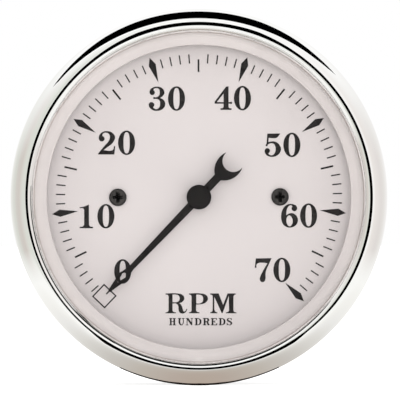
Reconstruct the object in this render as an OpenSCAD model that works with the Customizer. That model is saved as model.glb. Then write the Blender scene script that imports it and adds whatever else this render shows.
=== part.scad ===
// In-dash electric tachometer: a round panel instrument with a rolled bright bezel, a printed dial
// with a sunk trim ring, a pointer on an air-core movement, and a clamp bracket behind the panel.
// Each piece is drawn lying on its back with the dial up. There z is the height in front of the
// panel, x is to the right and y is up the dial, and standing() then turns the piece upright.

/* [Bezel and lens] */
// Outer diameter of the bezel
bezel_d = 85.7; // [85.4:0.1:88]
// Width of the bezel's outer roll, from its edge to its crest
outer_roll_w = 3.75; // [3.2:0.05:3.8]
// Width of the bezel's inner roll, from its crest to its lip
inner_roll_w = 1.5; // [1.4:0.1:2.2]
// Height of the crest in front of the panel
bezel_h = 9; // [8:0.1:12]
// Thickness of the bezel's sheet
sheet_t = 0.6; // [0.4:0.05:0.8]
// How far the lens reaches under the bezel's lip
lens_cover = 3; // [2:0.1:3.4]
// Thickness of the lens
lens_t = 2; // [1.5:0.1:2.4]
// Thickness of the rubber gasket between the lens and the bezel's lip
gasket_t = 0.8; // [0.5:0.1:1]

/* [Case] */
// How far the bezel stands out past the case's barrel
barrel_inset = 3.85; // [3.4:0.05:4.4]
// Depth of the case behind the panel's front face
case_depth = 36; // [34:0.5:50]
// Wall of the case's barrel
case_wall = 1; // [0.8:0.1:1.4]
// Thickness of the case's back
back_t = 1.2; // [1:0.1:2]
// Thickness of the flange round the case's mouth
case_flange_t = 1; // [0.8:0.1:1.4]
// Outer radius of the case's rear edge
case_edge_r = 2; // [1.6:0.1:3]
// Radial room between the barrel and the bezel's crimp
crimp_room = 0.9; // [0.6:0.1:1.2]

/* [Trim ring and dial] */
// Room between the trim ring's sleeve and the barrel
sleeve_room = 2.35; // [1.6:0.05:3.4]
// Thickness of the trim ring's flange
ring_flange_t = 1; // [0.8:0.1:1.4]
// Wall of the trim ring's sleeve
ring_wall = 1; // [0.6:0.1:1.4]
// Depth from the trim ring's flange back to the end of its sleeve
sleeve_l = 2; // [1:0.1:3]
// Radius on the front edge of the window
window_edge_r = 0.3; // [0.2:0.05:0.5]
// Depth of the dial's face behind the panel's front face
dial_depth = 2.5; // [2:0.1:4]
// Room between the dial and the barrel
dial_room = 1.2; // [0.6:0.1:2]
// Thickness of the dial
dial_t = 0.8; // [0.6:0.1:1.2]
// Hole in the dial for the pointer's spindle
dial_hole_d = 3.2; // [2.4:0.1:4]

/* [Printed scale] */
// Highest value of the scale, in hundreds of turns a minute
scale_max = 70; // [50:10:80]
// Sweep of the scale from zero to its highest value, in degrees
scale_sweep = 270; // [240:1:280]
// Thickness of the printed ink
ink_t = 0.05; // [0.03:0.01:0.1]
// Room between the window and the diamonds' outer points
scale_room = 0.9; // [0.6:0.05:2]
// Length of a diamond
diamond_l = 6; // [4.6:0.1:6.4]
// Length of a diamond's outer point, from its widest place
diamond_point_l = 1.8; // [1.4:0.1:2.4]
// Greatest width of a diamond
diamond_w = 1.66; // [1:0.02:1.8]
// Length of a long mark
long_l = 2.9; // [2:0.1:3.4]
// How far the long marks end inside the diamonds' outer points
long_inset = 2.3; // [1:0.1:2.6]
// Width of a long mark
long_w = 0.4; // [0.2:0.02:0.5]
// Length of a short mark
short_l = 2.1; // [1.4:0.1:2.6]
// How far the short marks end inside the diamonds' outer points
short_inset = 1.1; // [0.5:0.1:1.6]
// Width of a short mark
short_w = 0.28; // [0.16:0.02:0.34]
// Side of the outlined square that stands for zero
zero_box_w = 4; // [3:0.1:4.4]
// How far the zero square's centre lies inside the diamonds' outer points
zero_inset = 2.5; // [2:0.1:3]
// Line width of the zero square
zero_line_w = 0.3; // [0.16:0.02:0.4]

/* [Pointer] */
// Room between the pointer's tip and the window
tip_room = 4.05; // [3.6:0.05:6]
// Angle of the pointer at rest, in degrees clockwise from the top
rest_angle = -136.1; // [-140:0.1:-130]
// Thickness of the pointer
pointer_t = 0.4; // [0.3:0.05:0.6]
// Height of the pointer's underside above the dial
pointer_lift = 2.3; // [2:0.1:2.8]
// Width of the pointer's blade beside the hub
blade_root_w = 1.9; // [1.6:0.05:2.2]
// Width of the pointer's blade where the spade starts
blade_end_w = 1.22; // [1:0.02:1.4]
// Width of the spade
spade_w = 2.32; // [2:0.02:2.8]
// Distance from the spade's widest place to the pointer's tip
spade_l = 5.65; // [5.2:0.05:6.2]
// Width of the spade's eye
eye_w = 1.14; // [0.8:0.02:1.3]
// Width of the thin tip
tip_w = 0.32; // [0.2:0.02:0.4]
// Radius of the two arcs that shape the crescent's outside
crescent_r = 4.55; // [4.2:0.05:4.8]
// Distance from the spindle to the middle of those arcs
crescent_at = 9.93; // [9.4:0.01:10.4]
// Distance of each arc's centre from the pointer's axis
crescent_off = 1.66; // [1.5:0.01:1.8]
// Radius of the crescent's mouth
mouth_r = 2.49; // [2.3:0.01:2.5]
// Distance from the spindle to the centre of the mouth
mouth_at = 11.37; // [11.2:0.01:11.8]
// Diameter of the hub's cap
hub_cap_d = 5.64; // [5:0.02:6]
// Thickness of the hub's cap
hub_cap_t = 1; // [0.8:0.1:1.4]
// Diameter of the hub's boss, which goes through the pointer
hub_boss_d = 3; // [2.6:0.1:3.4]
// Diameter of the spindle
spindle_d = 1.5; // [1.2:0.05:1.8]

/* [Movement] */
// Diameter of the rotor magnet
magnet_d = 11; // [9:0.1:12]
// Thickness of the rotor magnet
magnet_t = 3.2; // [2.4:0.1:4]
// Free space round the rotor magnet
magnet_gap = 0.3; // [0.2:0.05:0.6]
// Width of the bobbin's core
core_w = 16; // [15.4:0.1:17]
// Height of the bobbin's core
core_h = 13.4; // [12:0.1:15]
// Radial build of each winding
coil_t = 1.2; // [0.8:0.1:1.5]
// Width of each half of a winding
coil_w = 3.2; // [2.6:0.1:3.6]
// Half of the space left between the two halves of a winding, for the spindle
coil_split = 1.6; // [1.55:0.05:2]
// Diameter of the bearing bushes
bush_d = 3; // [2.6:0.05:3]
// Inner diameter of the shield can
can_d = 27; // [26:0.1:28]
// Thickness of the shield can
can_t = 0.5; // [0.3:0.05:0.8]

/* [Circuit board] */
// Room between the circuit board and the barrel
board_room = 4; // [2:0.1:5]
// Thickness of the circuit board
board_t = 1.6; // [1:0.1:2]
// Space between the circuit board and the case's back
board_gap = 4.8; // [4.6:0.1:6]
// Width across flats of the dial's pillars
pillar_af = 5; // [4.5:0.1:6]
// Distance of each pillar and mounting stud from the axis
pillar_x = 18.5; // [18:0.1:20]
// Diameter of the dial screws' heads
screw_head_d = 4; // [3.6:0.1:4.6]
// Height of the dial screws' heads
screw_head_h = 1.2; // [0.9:0.1:1.5]
// Diameter of the dial screws' shanks
screw_d = 2.4; // [2:0.1:3]
// Length of the dial screws' shanks
screw_l = 5; // [4:0.5:8]

/* [Cylinder selector] */
// Distance that the selector slides from its first position to its last
selector_travel = 4.8; // [3:0.1:6]
// Width of the selector's slider
slider_w = 2.6; // [2.2:0.1:3]
// How far the selector lies inside the barrel's outside
selector_inset = 14; // [12:0.1:15]
// How far the slider stands out of the case's back
slider_proud = 1.2; // [0.8:0.1:2]

/* [Lamps] */
// How far each lamp's axis lies inside the barrel's outside
lamp_inset = 10.7; // [10.2:0.1:11]
// Angle of each lamp from the top, in degrees
lamp_angle = 45; // [44:1:50]
// Diameter of the lamp holders' bodies
holder_d = 12; // [11:0.1:12.4]
// Diameter of the lamp holders' flanges
holder_flange_d = 17.8; // [17.4:0.1:18.6]
// Turn that frees a lamp holder, in degrees
holder_turn = 60; // [45:5:70]
// Diameter of the lamps' glass
lamp_d = 9.8; // [8:0.1:10]
// Length of the lamps' glass in front of the holder
lamp_l = 16; // [12:0.5:17]

/* [Terminals] */
// How far each terminal's axis lies inside the barrel's outside
terminal_inset = 15; // [12:0.1:15.5]
// Angle between neighbouring terminals, in degrees
terminal_pitch = 33; // [30:1:40]
// Diameter of the terminal studs
terminal_d = 3.9; // [3:0.1:4.4]
// How far the terminal studs stand out behind the case
terminal_reach = 12; // [9:0.5:16]
// Diameter of the terminals' insulators
insulator_d = 9; // [8:0.1:9.6]
// Width across flats of the terminal nuts
terminal_nut_af = 7; // [6.4:0.1:8]

/* [Clamp bracket] */
// Diameter of the mounting studs
stud_d = 4.8; // [4:0.1:5]
// Space between the bezel and the bracket's feet at rest
panel_gap = 6; // [5:0.1:8]
// How far the bracket can be drawn forward from rest
bracket_forward = 4.5; // [3:0.1:4.6]
// How far the bracket can be slackened from rest
bracket_back = 4; // [2:0.1:6]
// Width of the bracket
bracket_w = 20; // [16:0.5:21]
// Thickness of the bracket
bracket_t = 1.5; // [1.2:0.1:2]
// Space between the barrel and the bracket's legs
leg_room = 1.2; // [1:0.1:1.6]
// Diameter of the thumb nuts
thumb_nut_d = 11.2; // [9:0.1:12]
// Height of the thumb nuts' fluted rims
thumb_nut_h = 5; // [4:0.1:7]
// Number of flutes round a thumb nut
thumb_flutes = 22; // [16:1:26]

/* [Hidden] */
// Rounded edges and bores are drawn with this many steps
$fn = 96;
// Clearance between pieces that are laid in each other
fit_gap = 0.1;
// Radial clearance of a shaft that turns or slides in its hole
run_gap = 0.05;
// Radial clearance of a piece that is pressed or cemented on a shaft
press_gap = 0.02;
// Extra length of every cutting tool past the face that it cuts
past = 1;

bezel_r = bezel_d / 2;
crest_r = bezel_r - outer_roll_w;
lip_r = crest_r - inner_roll_w;
lens_r = lip_r + lens_cover;
barrel_r = bezel_r - barrel_inset;
barrel_bore_r = barrel_r - case_wall;
stack_r = bezel_r - sheet_t - fit_gap;
window_r = barrel_bore_r - sleeve_room - ring_wall;
dial_r = barrel_bore_r - dial_room;
board_r = barrel_bore_r - board_room;

// Radii of the printed scale
diamond_out_r = window_r - scale_room;
diamond_in_r = diamond_out_r - diamond_l;
diamond_mid_r = diamond_out_r - diamond_point_l;
long_out_r = diamond_out_r - long_inset;
short_out_r = diamond_out_r - short_inset;
zero_box_r = diamond_out_r - zero_inset;

// Heights of the layers that the bezel holds together, from the panel forward
flange_z = sheet_t;
ring_z = flange_z + case_flange_t;
lens_z = ring_z + ring_flange_t;
gasket_z = lens_z + lens_t;
lip_z = gasket_z + gasket_t;

// Heights of the layers inside the case, from the dial back
dial_z = -dial_depth;
dial_back_z = dial_z - dial_t;
case_back_z = -case_depth;
inside_back_z = case_back_z + back_t;
board_back_z = inside_back_z + board_gap;
board_z = board_back_z + board_t;

// Heights of the movement, which stands on the board
coil_gap = 0.05;
winding_h = coil_t + coil_gap;
core_z = board_z + 2 * winding_h + coil_gap;
core_top_z = core_z + core_h;
split_z = core_z + core_h / 2;
post_top_z = core_top_z + 2 * winding_h + coil_gap;
can_top_z = post_top_z + coil_gap + can_t;
bush_stand = 1;
bush_sunk = 3;
bush_floor = 1;
spindle_r = spindle_d / 2;
channel_w = 2 * (coil_split + coil_w + fit_gap);

// Heights of the pointer
pointer_z = dial_z + pointer_lift;
cap_z = pointer_z + pointer_t;
hub_boss_l = 1.1;
spindle_sunk = 0.6;
pointer_l = window_r - tip_room;
spade_at = pointer_l - spade_l;
crescent_tip_at = mouth_at + 0.21;

// Mounting studs, with the collar that spaces the board from the case
spigot_d = 2.9;
spigot_l = 5;
collar_af = 8;
washer_d = 9;
washer_t = 0.8;
stud_nut_t = 3.2;
stud_nut_z = case_back_z - washer_t - stud_nut_t;
bracket_spare = 0.4;
bridge_z = stud_nut_z - bracket_spare - bracket_forward;
foot_z = -panel_gap;
leg_x = barrel_r + leg_room;
bend_r = 1.5;
thumb_nut_z = bridge_z - bracket_t;
thumb_collar_h = 1;
stud_tail = 1.6;
stud_end_z = thumb_nut_z - thumb_collar_h - thumb_nut_h - bracket_back - stud_tail;

// Terminals
terminal_orbit_r = barrel_r - terminal_inset;
terminal_spots = [for (i = [-1:1]) polar(terminal_orbit_r, 180 + i * terminal_pitch)];
terminal_head_d = 6.8;
terminal_head_t = 1.2;
bush_flange_t = 1.4;
bush_wall = 1.1;
bush_collar_d = terminal_d + 2 * bush_wall;
terminal_washer_w = 2;
terminal_washer_t = 0.6;
terminal_nut_t = 3;

// Lamps
lamp_orbit_r = barrel_r - lamp_inset;
lamp_spots = [polar(lamp_orbit_r, -lamp_angle), polar(lamp_orbit_r, lamp_angle)];
holder_flange_t = 1.4;
tab_t = 1.3;
tab_w = 2.6;
tab_l = 1.9;
tab_r = holder_d / 2 + tab_l;
holder_hole_room = 0.6;
grip_h = 5;
grip_w = 3;
grip_l = 13;
socket_d = 7.2;
socket_depth = 4;
lamp_base_d = 6.8;
holder_top_z = board_back_z;

// Selector
selector_y = barrel_r - selector_inset;
slider_ledge = 0.5;
slider_foot_w = slider_w + 2 * slider_ledge;
slider_foot_t = 1.4;
switch_end = 1.6;
switch_side = 1.1;
switch_l = slider_foot_w + selector_travel + 2 * switch_end;
switch_w = slider_foot_w + 2 * switch_side;
switch_h = 4.4;
switch_floor = 1.4;
switch_lid = 1;

// Parts on the front of the circuit board
chip_leg_y = 3.81;
chip_room = 4.19;
chip_at = [0, can_d / 2 + can_t + chip_room + chip_leg_y];
capacitor_inset = 7;
capacitor_x = board_r - capacitor_inset;
capacitor_y = -7;
capacitor_d = 6.3;
capacitor_h = 11;
trimmer_inset = 5.4;
trimmer_y = 5.6;
trimmer_at = [board_r - trimmer_inset, trimmer_y];
trimmer_w = 6.4;
trimmer_h = 3.6;
trimmer_cup_d = 4.6;
trimmer_cup_depth = 1.2;
trimmer_stem_d = 1.6;
trimmer_stem_l = 1;
film_w = 2.6;
film_l = 7.2;
film_h = 6;
film_y = 3.5;
film_at = [trimmer_inset - board_r, film_y];
resistor_inset = 10.3;
resistor_x = board_r - resistor_inset;
resistor_y = -13.5;
resistor_gap = 3.5;

// A point at a radius and an angle that runs clockwise from the top of the dial
function polar(r, a) = [r * sin(a), r * cos(a)];

// Turns a piece from its drawn place, dial up, to its place in a dashboard
module standing() rotate([90, 0, 0]) children();

module tube(r, bore_r, z0, z1) {
    translate([0, 0, z0]) difference() {
        cylinder(r = r, h = z1 - z0);
        translate([0, 0, -past]) cylinder(r = bore_r, h = z1 - z0 + 2 * past);
    }
}

module bore(r, z0, z1) translate([0, 0, z0]) cylinder(r = r, h = z1 - z0);

module hexagon(af, z0, z1) translate([0, 0, z0]) cylinder(r = af / 2 / cos(30), h = z1 - z0, $fn = 6);

// A quarter of a disc, between the directions of x and y
module quarter(r) intersection() {
    circle(r);
    square(r);
}

// What a rounded corner leaves of a square one
module corner_waste(r) difference() {
    square(r + past);
    circle(r);
}

// Half of a cup's section, solid from the axis out, with a round lower edge
module cup_half(r, z0, z1, edge) {
    translate([0, z0 + edge]) square([r, z1 - z0 - edge]);
    translate([0, z0]) square([r - edge, edge + 0.01]);
    translate([r - edge, z0 + edge]) mirror([0, 1]) quarter(edge);
}

// The bezel's outline, or the hollow inside it when inset by the sheet
module bezel_mass(inset) {
    translate([crest_r, bezel_h - outer_roll_w]) quarter(outer_roll_w - inset);
    translate([crest_r - 0.01, flange_z])
        square([outer_roll_w - inset + 0.01, bezel_h - outer_roll_w - flange_z]);
    translate([crest_r, bezel_h - inner_roll_w]) mirror([1, 0]) quarter(inner_roll_w - inset);
    translate([lip_r + inset, lip_z]) square([inner_roll_w - inset, bezel_h - inner_roll_w - lip_z]);
}

module bezel() color("gainsboro") standing() {
    crimp_r = barrel_r + crimp_room;
    rotate_extrude() {
        difference() {
            bezel_mass(0);
            bezel_mass(sheet_t);
        }
        translate([crimp_r, 0]) square([bezel_r - sheet_t - crimp_r, sheet_t]);
        translate([bezel_r - sheet_t, sheet_t]) mirror([0, 1]) quarter(sheet_t);
    }
}

module lens() color("lightcyan", 0.4) standing() {
    bore(lens_r, lens_z, gasket_z);
}

module lens_gasket() color("dimgray") standing() {
    tube(lens_r - fit_gap, lip_r + fit_gap, gasket_z, lip_z);
}

// Its flange lies on the case, its upstand centres the lens, and its sleeve shades the dial's edge
module trim_ring() color("linen") standing() {
    upstand_r = lens_r + fit_gap;
    rotate_extrude() difference() {
        union() {
            translate([window_r, ring_z]) square([stack_r - window_r, ring_flange_t]);
            translate([upstand_r, lens_z]) square([stack_r - upstand_r, lens_t]);
            translate([window_r, ring_z - sleeve_l]) square([ring_wall, sleeve_l]);
        }
        translate([window_r + window_edge_r, lens_z - window_edge_r]) mirror([1, 0])
            corner_waste(window_edge_r);
    }
}

module dial() color("whitesmoke") standing() difference() {
    bore(dial_r, dial_back_z, dial_z);
    bore(dial_hole_d / 2, dial_back_z - past, dial_z + past);
    for (side = [-1, 1]) translate([side * pillar_x, 0, 0])
        bore(screw_d / 2 + fit_gap, dial_back_z - past, dial_z + past);
}

// A short straight mark that points at the axis
module radial_mark(out_r, l, w) translate([-w / 2, out_r - l]) square([w, l]);

module diamond() polygon([[0, diamond_in_r], [diamond_w / 2, diamond_mid_r], [0, diamond_out_r],
    [-diamond_w / 2, diamond_mid_r]]);

module dial_scale() color("black") standing() translate([0, 0, dial_z]) linear_extrude(ink_t) {
    for (value = [1:scale_max]) rotate(scale_sweep / 2 - value * scale_sweep / scale_max) {
        if (value % 10 == 0) diamond();
        else if (value % 5 == 0) radial_mark(long_out_r, long_l, long_w);
        else radial_mark(short_out_r, short_l, short_w);
    }
    rotate(-rest_angle) translate([0, zero_box_r]) difference() {
        square(zero_box_w, center = true);
        square(zero_box_w - 2 * zero_line_w, center = true);
    }
}

// Pan heads with a crossed recess
module dial_screws() color("#2b2b2b") standing() for (side = [-1, 1]) translate([side * pillar_x, 0, dial_z]) {
    dome_h = 0.5;
    dome_r = (pow(screw_head_d / 2, 2) + dome_h * dome_h) / (2 * dome_h);
    recess_l = 2.3;
    recess_w = 0.78;
    recess_depth = 0.7;
    difference() {
        intersection() {
            cylinder(d = screw_head_d, h = screw_head_h);
            translate([0, 0, screw_head_h - dome_r]) sphere(dome_r);
        }
        for (turn = [0, 90]) rotate(turn)
            translate([-recess_l / 2, -recess_w / 2, screw_head_h - recess_depth])
                cube([recess_l, recess_w, recess_depth + past]);
    }
    translate([0, 0, -screw_l]) cylinder(d = screw_d, h = screw_l);
}

// Outline of the pointer, with its tip towards +y: a tapered blade that ends in a spade with an
// eye, and a crescent on its tail
module pointer_outline() {
    flare_l = 2.65;
    flare_at = spade_at - flare_l;
    taper_from = spade_at + 0.2;
    point_at = pointer_l - 1;
    neck_at = crescent_at - crescent_r + 0.5;
    eye_at = spade_at - 0.3;
    eye_l = 2.25;
    difference() {
        union() {
            polygon([[-blade_root_w / 2, 0], [blade_root_w / 2, 0], [blade_end_w / 2, flare_at],
                [-blade_end_w / 2, flare_at]]);
            polygon([[-blade_end_w / 2, flare_at], [blade_end_w / 2, flare_at],
                [spade_w * 0.42, spade_at - 0.65], [0, spade_at], [-spade_w * 0.42, spade_at - 0.65]]);
            translate([0, spade_at]) circle(spade_w / 2);
            polygon([[-spade_w * 0.49, taper_from], [spade_w * 0.49, taper_from], [tip_w, point_at],
                [tip_w / 2, point_at + 0.1], [tip_w / 2, pointer_l], [-tip_w / 2, pointer_l],
                [-tip_w / 2, point_at + 0.1], [-tip_w, point_at]]);
            circle(hub_boss_d / 2 + 0.7);
            translate([-blade_root_w / 2, -neck_at - 1]) square([blade_root_w, neck_at + 1]);
            difference() {
                intersection() {
                    translate([crescent_off, -crescent_at]) circle(crescent_r);
                    translate([-crescent_off, -crescent_at]) circle(crescent_r);
                }
                translate([0, -mouth_at]) circle(mouth_r);
                translate([-mouth_r - past, -mouth_at - mouth_r - past])
                    square([2 * (mouth_r + past), mouth_at + mouth_r + past - crescent_tip_at]);
            }
        }
        circle(hub_boss_d / 2 + press_gap);
        translate([0, eye_at]) circle(eye_w / 2);
        polygon([[-eye_w / 2, eye_at], [eye_w / 2, eye_at], [0, eye_at + eye_l]]);
    }
}

module pointer() color("#32302d") standing() translate([0, 0, pointer_z]) rotate(-rest_angle)
    linear_extrude(pointer_t) pointer_outline();

module pointer_hub() color("#32302d") standing() difference() {
    edge_r = 0.25;
    cap_r = hub_cap_d / 2;
    top_z = cap_z + hub_cap_t;
    rotate_extrude() difference() {
        union() {
            translate([0, cap_z]) square([cap_r, hub_cap_t]);
            translate([0, cap_z - hub_boss_l - pointer_t]) square([hub_boss_d / 2, hub_boss_l + pointer_t]);
        }
        translate([cap_r - edge_r, top_z - edge_r]) corner_waste(edge_r);
    }
    bore(spindle_r + press_gap, pointer_z - hub_boss_l - past, cap_z + spindle_sunk + press_gap);
}

module spindle() color("silver") standing() {
    bore(spindle_r, board_z + bush_floor + run_gap, cap_z + spindle_sunk);
}

module rotor_magnet() color("#4a4640") standing() {
    tube(magnet_d / 2, spindle_r + press_gap, split_z - magnet_t / 2, split_z + magnet_t / 2);
}

// Brass bush sunk in the front of the core, between the windings
module front_bearing() color("goldenrod") standing() {
    tube(bush_d / 2, spindle_r + run_gap, core_top_z - bush_sunk, can_top_z + bush_stand);
}

// Brass cup that stands on the board and takes the spindle's foot
module rear_bearing() color("goldenrod") standing() difference() {
    bore(bush_d / 2, board_z, core_z + bush_sunk - bush_floor);
    bore(spindle_r + run_gap, board_z + bush_floor, core_z + bush_sunk + past);
}

// Core and four corner posts of the bobbin, with the rotor's chamber and the bearings' seats
module bobbin_whole() difference() {
    union() {
        translate([-core_w / 2, -core_w / 2, core_z]) cube([core_w, core_w, core_h]);
        difference() {
            bore(can_d / 2 - 2 * fit_gap, board_z, post_top_z);
            translate([-channel_w / 2, -can_d, board_z - past])
                cube([channel_w, 2 * can_d, post_top_z - board_z + 2 * past]);
            translate([-can_d, -channel_w / 2, board_z - past])
                cube([2 * can_d, channel_w, post_top_z - board_z + 2 * past]);
        }
    }
    bore(magnet_d / 2 + magnet_gap, split_z - magnet_t / 2 - magnet_gap,
        split_z + magnet_t / 2 + magnet_gap);
    bore(spindle_r + 2 * fit_gap, core_z - past, core_top_z + past);
    bore(bush_d / 2 + press_gap, core_top_z - bush_sunk, core_top_z + past);
    bore(bush_d / 2 + press_gap, core_z - past, core_z + bush_sunk - bush_floor);
}

module bobbin_front() color("ivory") standing() intersection() {
    bobbin_whole();
    bore(can_d, split_z, post_top_z + past);
}

module bobbin_rear() color("ivory") standing() intersection() {
    bobbin_whole();
    bore(can_d, board_z - past, split_z);
}

// One half of a winding: a flat rectangular loop that stands round the core, in the plane of y and z
module winding_half(w, h) {
    rotate([90, 0, 90]) linear_extrude(coil_w) difference() {
        union() {
            square([w + 2 * coil_t, h], center = true);
            square([w, h + 2 * coil_t], center = true);
            for (sx = [-1, 1]) for (sy = [-1, 1]) translate([sx * w / 2, sy * h / 2]) circle(coil_t);
        }
        square([w, h], center = true);
    }
}

module winding(h) {
    for (side = [0, 1]) mirror([side, 0, 0])
        translate([coil_split, 0, split_z]) winding_half(core_w + 2 * coil_gap, h);
}

module sine_coil() color("#b0623a") standing() winding(core_h + 2 * coil_gap);

module cosine_coil() color("#a8552e") standing()
    rotate(90) winding(core_h + 2 * coil_gap + 2 * winding_h);

module shield_can() color("darkgray") standing() difference() {
    bore(can_d / 2 + can_t, board_z, can_top_z);
    bore(can_d / 2, board_z - past, can_top_z - can_t);
    bore(bush_d / 2 + fit_gap, board_z, can_top_z + past);
}

// Hexagonal pillars that carry the dial on the circuit board
module dial_pillars() color("silver") standing() for (side = [-1, 1]) translate([side * pillar_x, 0, 0])
    difference() {
        hexagon(pillar_af, board_z, dial_back_z);
        bore(screw_d / 2 + run_gap, dial_z - screw_l - 1, dial_back_z + past);
        bore(spigot_d / 2 + run_gap, board_z - past, board_z + spigot_l + 0.5);
    }

module circuit_board() color("#3d6b3a") standing() difference() {
    bore(board_r, board_back_z, board_z);
    for (side = [-1, 1]) translate([side * pillar_x, 0, 0])
        bore(spigot_d / 2 + fit_gap, board_back_z - past, board_z + past);
    for (p = terminal_spots) translate([p.x, p.y, 0])
        bore(terminal_d / 2 + fit_gap, board_back_z - past, board_z + past);
    for (p = lamp_spots) translate([p.x, p.y, 0])
        bore(holder_d / 2 + holder_hole_room, board_back_z - past, board_z + past);
}

// Fourteen-legged chip, each leg bent down to the board
module driver_chip() color("#26262a") standing() translate([chip_at.x, chip_at.y, board_z]) {
    chip_l = 19;
    chip_w = 6.4;
    chip_h = 3.3;
    leg_pitch = 2.54;
    leg_w = 0.5;
    leg_t = 0.3;
    under = 0.5;
    difference() {
        translate([-chip_l / 2, -chip_w / 2, under]) cube([chip_l, chip_w, chip_h]);
        translate([-chip_l / 2, 0, under + chip_h - 0.4]) cylinder(r = 0.9, h = past);
    }
    for (i = [-3:3]) for (side = [0, 1]) mirror([0, side, 0]) translate([i * leg_pitch - leg_w / 2, 0, 0]) {
        translate([0, chip_leg_y - leg_t, 0]) cube([leg_w, leg_t, under + chip_h / 2]);
        translate([0, chip_w / 2 - 0.2, under + chip_h / 2 - leg_t])
            cube([leg_w, chip_leg_y - chip_w / 2 + 0.2, leg_t]);
    }
}

module smoothing_capacitors() color("#2c3550") standing() for (side = [-1, 1])
    translate([side * capacitor_x, capacitor_y, board_z]) {
        groove_z = 1.2;
        groove_h = 0.7;
        cylinder(d = capacitor_d, h = groove_z);
        cylinder(d = capacitor_d - 0.6, h = capacitor_h - 0.2);
        translate([0, 0, groove_z + groove_h]) cylinder(d = capacitor_d, h = capacitor_h - groove_z - groove_h);
    }

module film_capacitor() color("#b5442f") standing() translate([film_at.x, film_at.y, board_z]) {
    under = 0.6;
    lead_spread = 2.5;
    translate([-film_w / 2, -film_l / 2, under]) cube([film_w, film_l, film_h]);
    for (side = [-1, 1]) translate([0, side * lead_spread, 0]) cylinder(r = 0.3, h = under + 0.3);
}

// Axial resistors with their leads bent down to the board
module resistors() color("#c9a978") standing() for (side = [-1, 1]) for (row = [0, 1])
    translate([side * resistor_x, resistor_y - row * resistor_gap, board_z]) {
        body_l = 6.3;
        body_r = 1.05;
        end_r = 1.25;
        end_l = 1.5;
        axis_z = 1.6;
        lead_r = 0.3;
        lead_x = 4.4;
        translate([-body_l / 2, 0, axis_z]) rotate([0, 90, 0]) cylinder(r = body_r, h = body_l);
        for (end = [0, 1]) mirror([end, 0, 0]) {
            translate([body_l / 2 - end_l, 0, axis_z]) rotate([0, 90, 0]) cylinder(r = end_r, h = end_l);
            translate([body_l / 2 - 0.1, 0, axis_z]) rotate([0, 90, 0])
                cylinder(r = lead_r * 0.9, h = lead_x - body_l / 2 + 0.1);
            translate([lead_x, 0, 0]) cylinder(r = lead_r, h = axis_z + lead_r);
        }
    }

module trimmer_body() color("#3f5f9a") standing() translate([trimmer_at.x, trimmer_at.y, board_z])
    difference() {
        translate([-trimmer_w / 2, -trimmer_w / 2, 0]) cube([trimmer_w, trimmer_w, trimmer_h]);
        translate([0, 0, trimmer_h - trimmer_cup_depth])
            cylinder(d = trimmer_cup_d, h = trimmer_cup_depth + past);
        translate([0, 0, trimmer_h - trimmer_cup_depth - trimmer_stem_l - fit_gap])
            cylinder(r = trimmer_stem_d / 2 + run_gap, h = trimmer_stem_l + past);
    }

module trimmer_rotor() color("white") standing()
    translate([trimmer_at.x, trimmer_at.y, board_z + trimmer_h - trimmer_cup_depth]) difference() {
        slot_w = 0.6;
        slot_l = 3;
        slot_depth = 0.6;
        union() {
            translate([0, 0, run_gap]) cylinder(d = trimmer_cup_d - 2 * run_gap, h = trimmer_cup_depth);
            translate([0, 0, -trimmer_stem_l]) cylinder(d = trimmer_stem_d, h = trimmer_stem_l + 2 * run_gap);
        }
        translate([-slot_l / 2, -slot_w / 2, trimmer_cup_depth + run_gap - slot_depth])
            cube([slot_l, slot_w, slot_depth + past]);
    }

// A box under a height, centred in x and y, for the selector's pieces
module hanging_box(l, w, top, bottom) translate([-l / 2, -w / 2, bottom]) cube([l, w, top - bottom]);

module selector_switch() color("#8d8f92") standing() translate([0, selector_y, 0]) difference() {
    switch_back_z = board_back_z - switch_h;
    hanging_box(switch_l, switch_w, board_back_z, switch_back_z);
    hanging_box(slider_foot_w + selector_travel + 2 * fit_gap, slider_foot_w + 2 * fit_gap,
        board_back_z - switch_floor, switch_back_z + switch_lid);
    hanging_box(slider_w + selector_travel + 2 * fit_gap, slider_w + 2 * fit_gap,
        board_back_z - switch_floor, switch_back_z - past);
}

// At rest it stands in its first position, to the left as seen from the front
module selector_slider() color("#1f1f1f") standing() translate([-selector_travel / 2, selector_y, 0]) {
    foot_top_z = board_back_z - switch_floor - run_gap;
    hanging_box(slider_foot_w, slider_foot_w, foot_top_z, foot_top_z - slider_foot_t);
    hanging_box(slider_w, slider_w, foot_top_z - slider_foot_t / 2, case_back_z - slider_proud);
}

module case() color("#1c1c1e") standing() difference() {
    union() {
        rotate_extrude() difference() {
            cup_half(barrel_r, case_back_z, ring_z, case_edge_r);
            cup_half(barrel_bore_r, inside_back_z, ring_z + past, case_edge_r - case_wall);
        }
        tube(stack_r, barrel_bore_r + case_wall / 2, flange_z, ring_z);
    }
    for (side = [-1, 1]) translate([side * pillar_x, 0, 0])
        bore(stud_d / 2 + 2 * fit_gap, case_back_z - past, inside_back_z + past);
    for (p = terminal_spots) translate([p.x, p.y, 0])
        bore(bush_collar_d / 2 + fit_gap, case_back_z - past, inside_back_z + past);
    for (p = lamp_spots) translate([p.x, p.y, 0]) {
        bore(holder_d / 2 + fit_gap, case_back_z - past, inside_back_z + past);
        translate([-tab_r - 2 * fit_gap, -tab_w / 2 - 2 * fit_gap, case_back_z - past])
            cube([2 * tab_r + 4 * fit_gap, tab_w + 4 * fit_gap, back_t + 2 * past]);
    }
    translate([0, selector_y, 0])
        hanging_box(slider_w + selector_travel + 1.2, slider_w + 1, inside_back_z + past, case_back_z - past);
}

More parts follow.
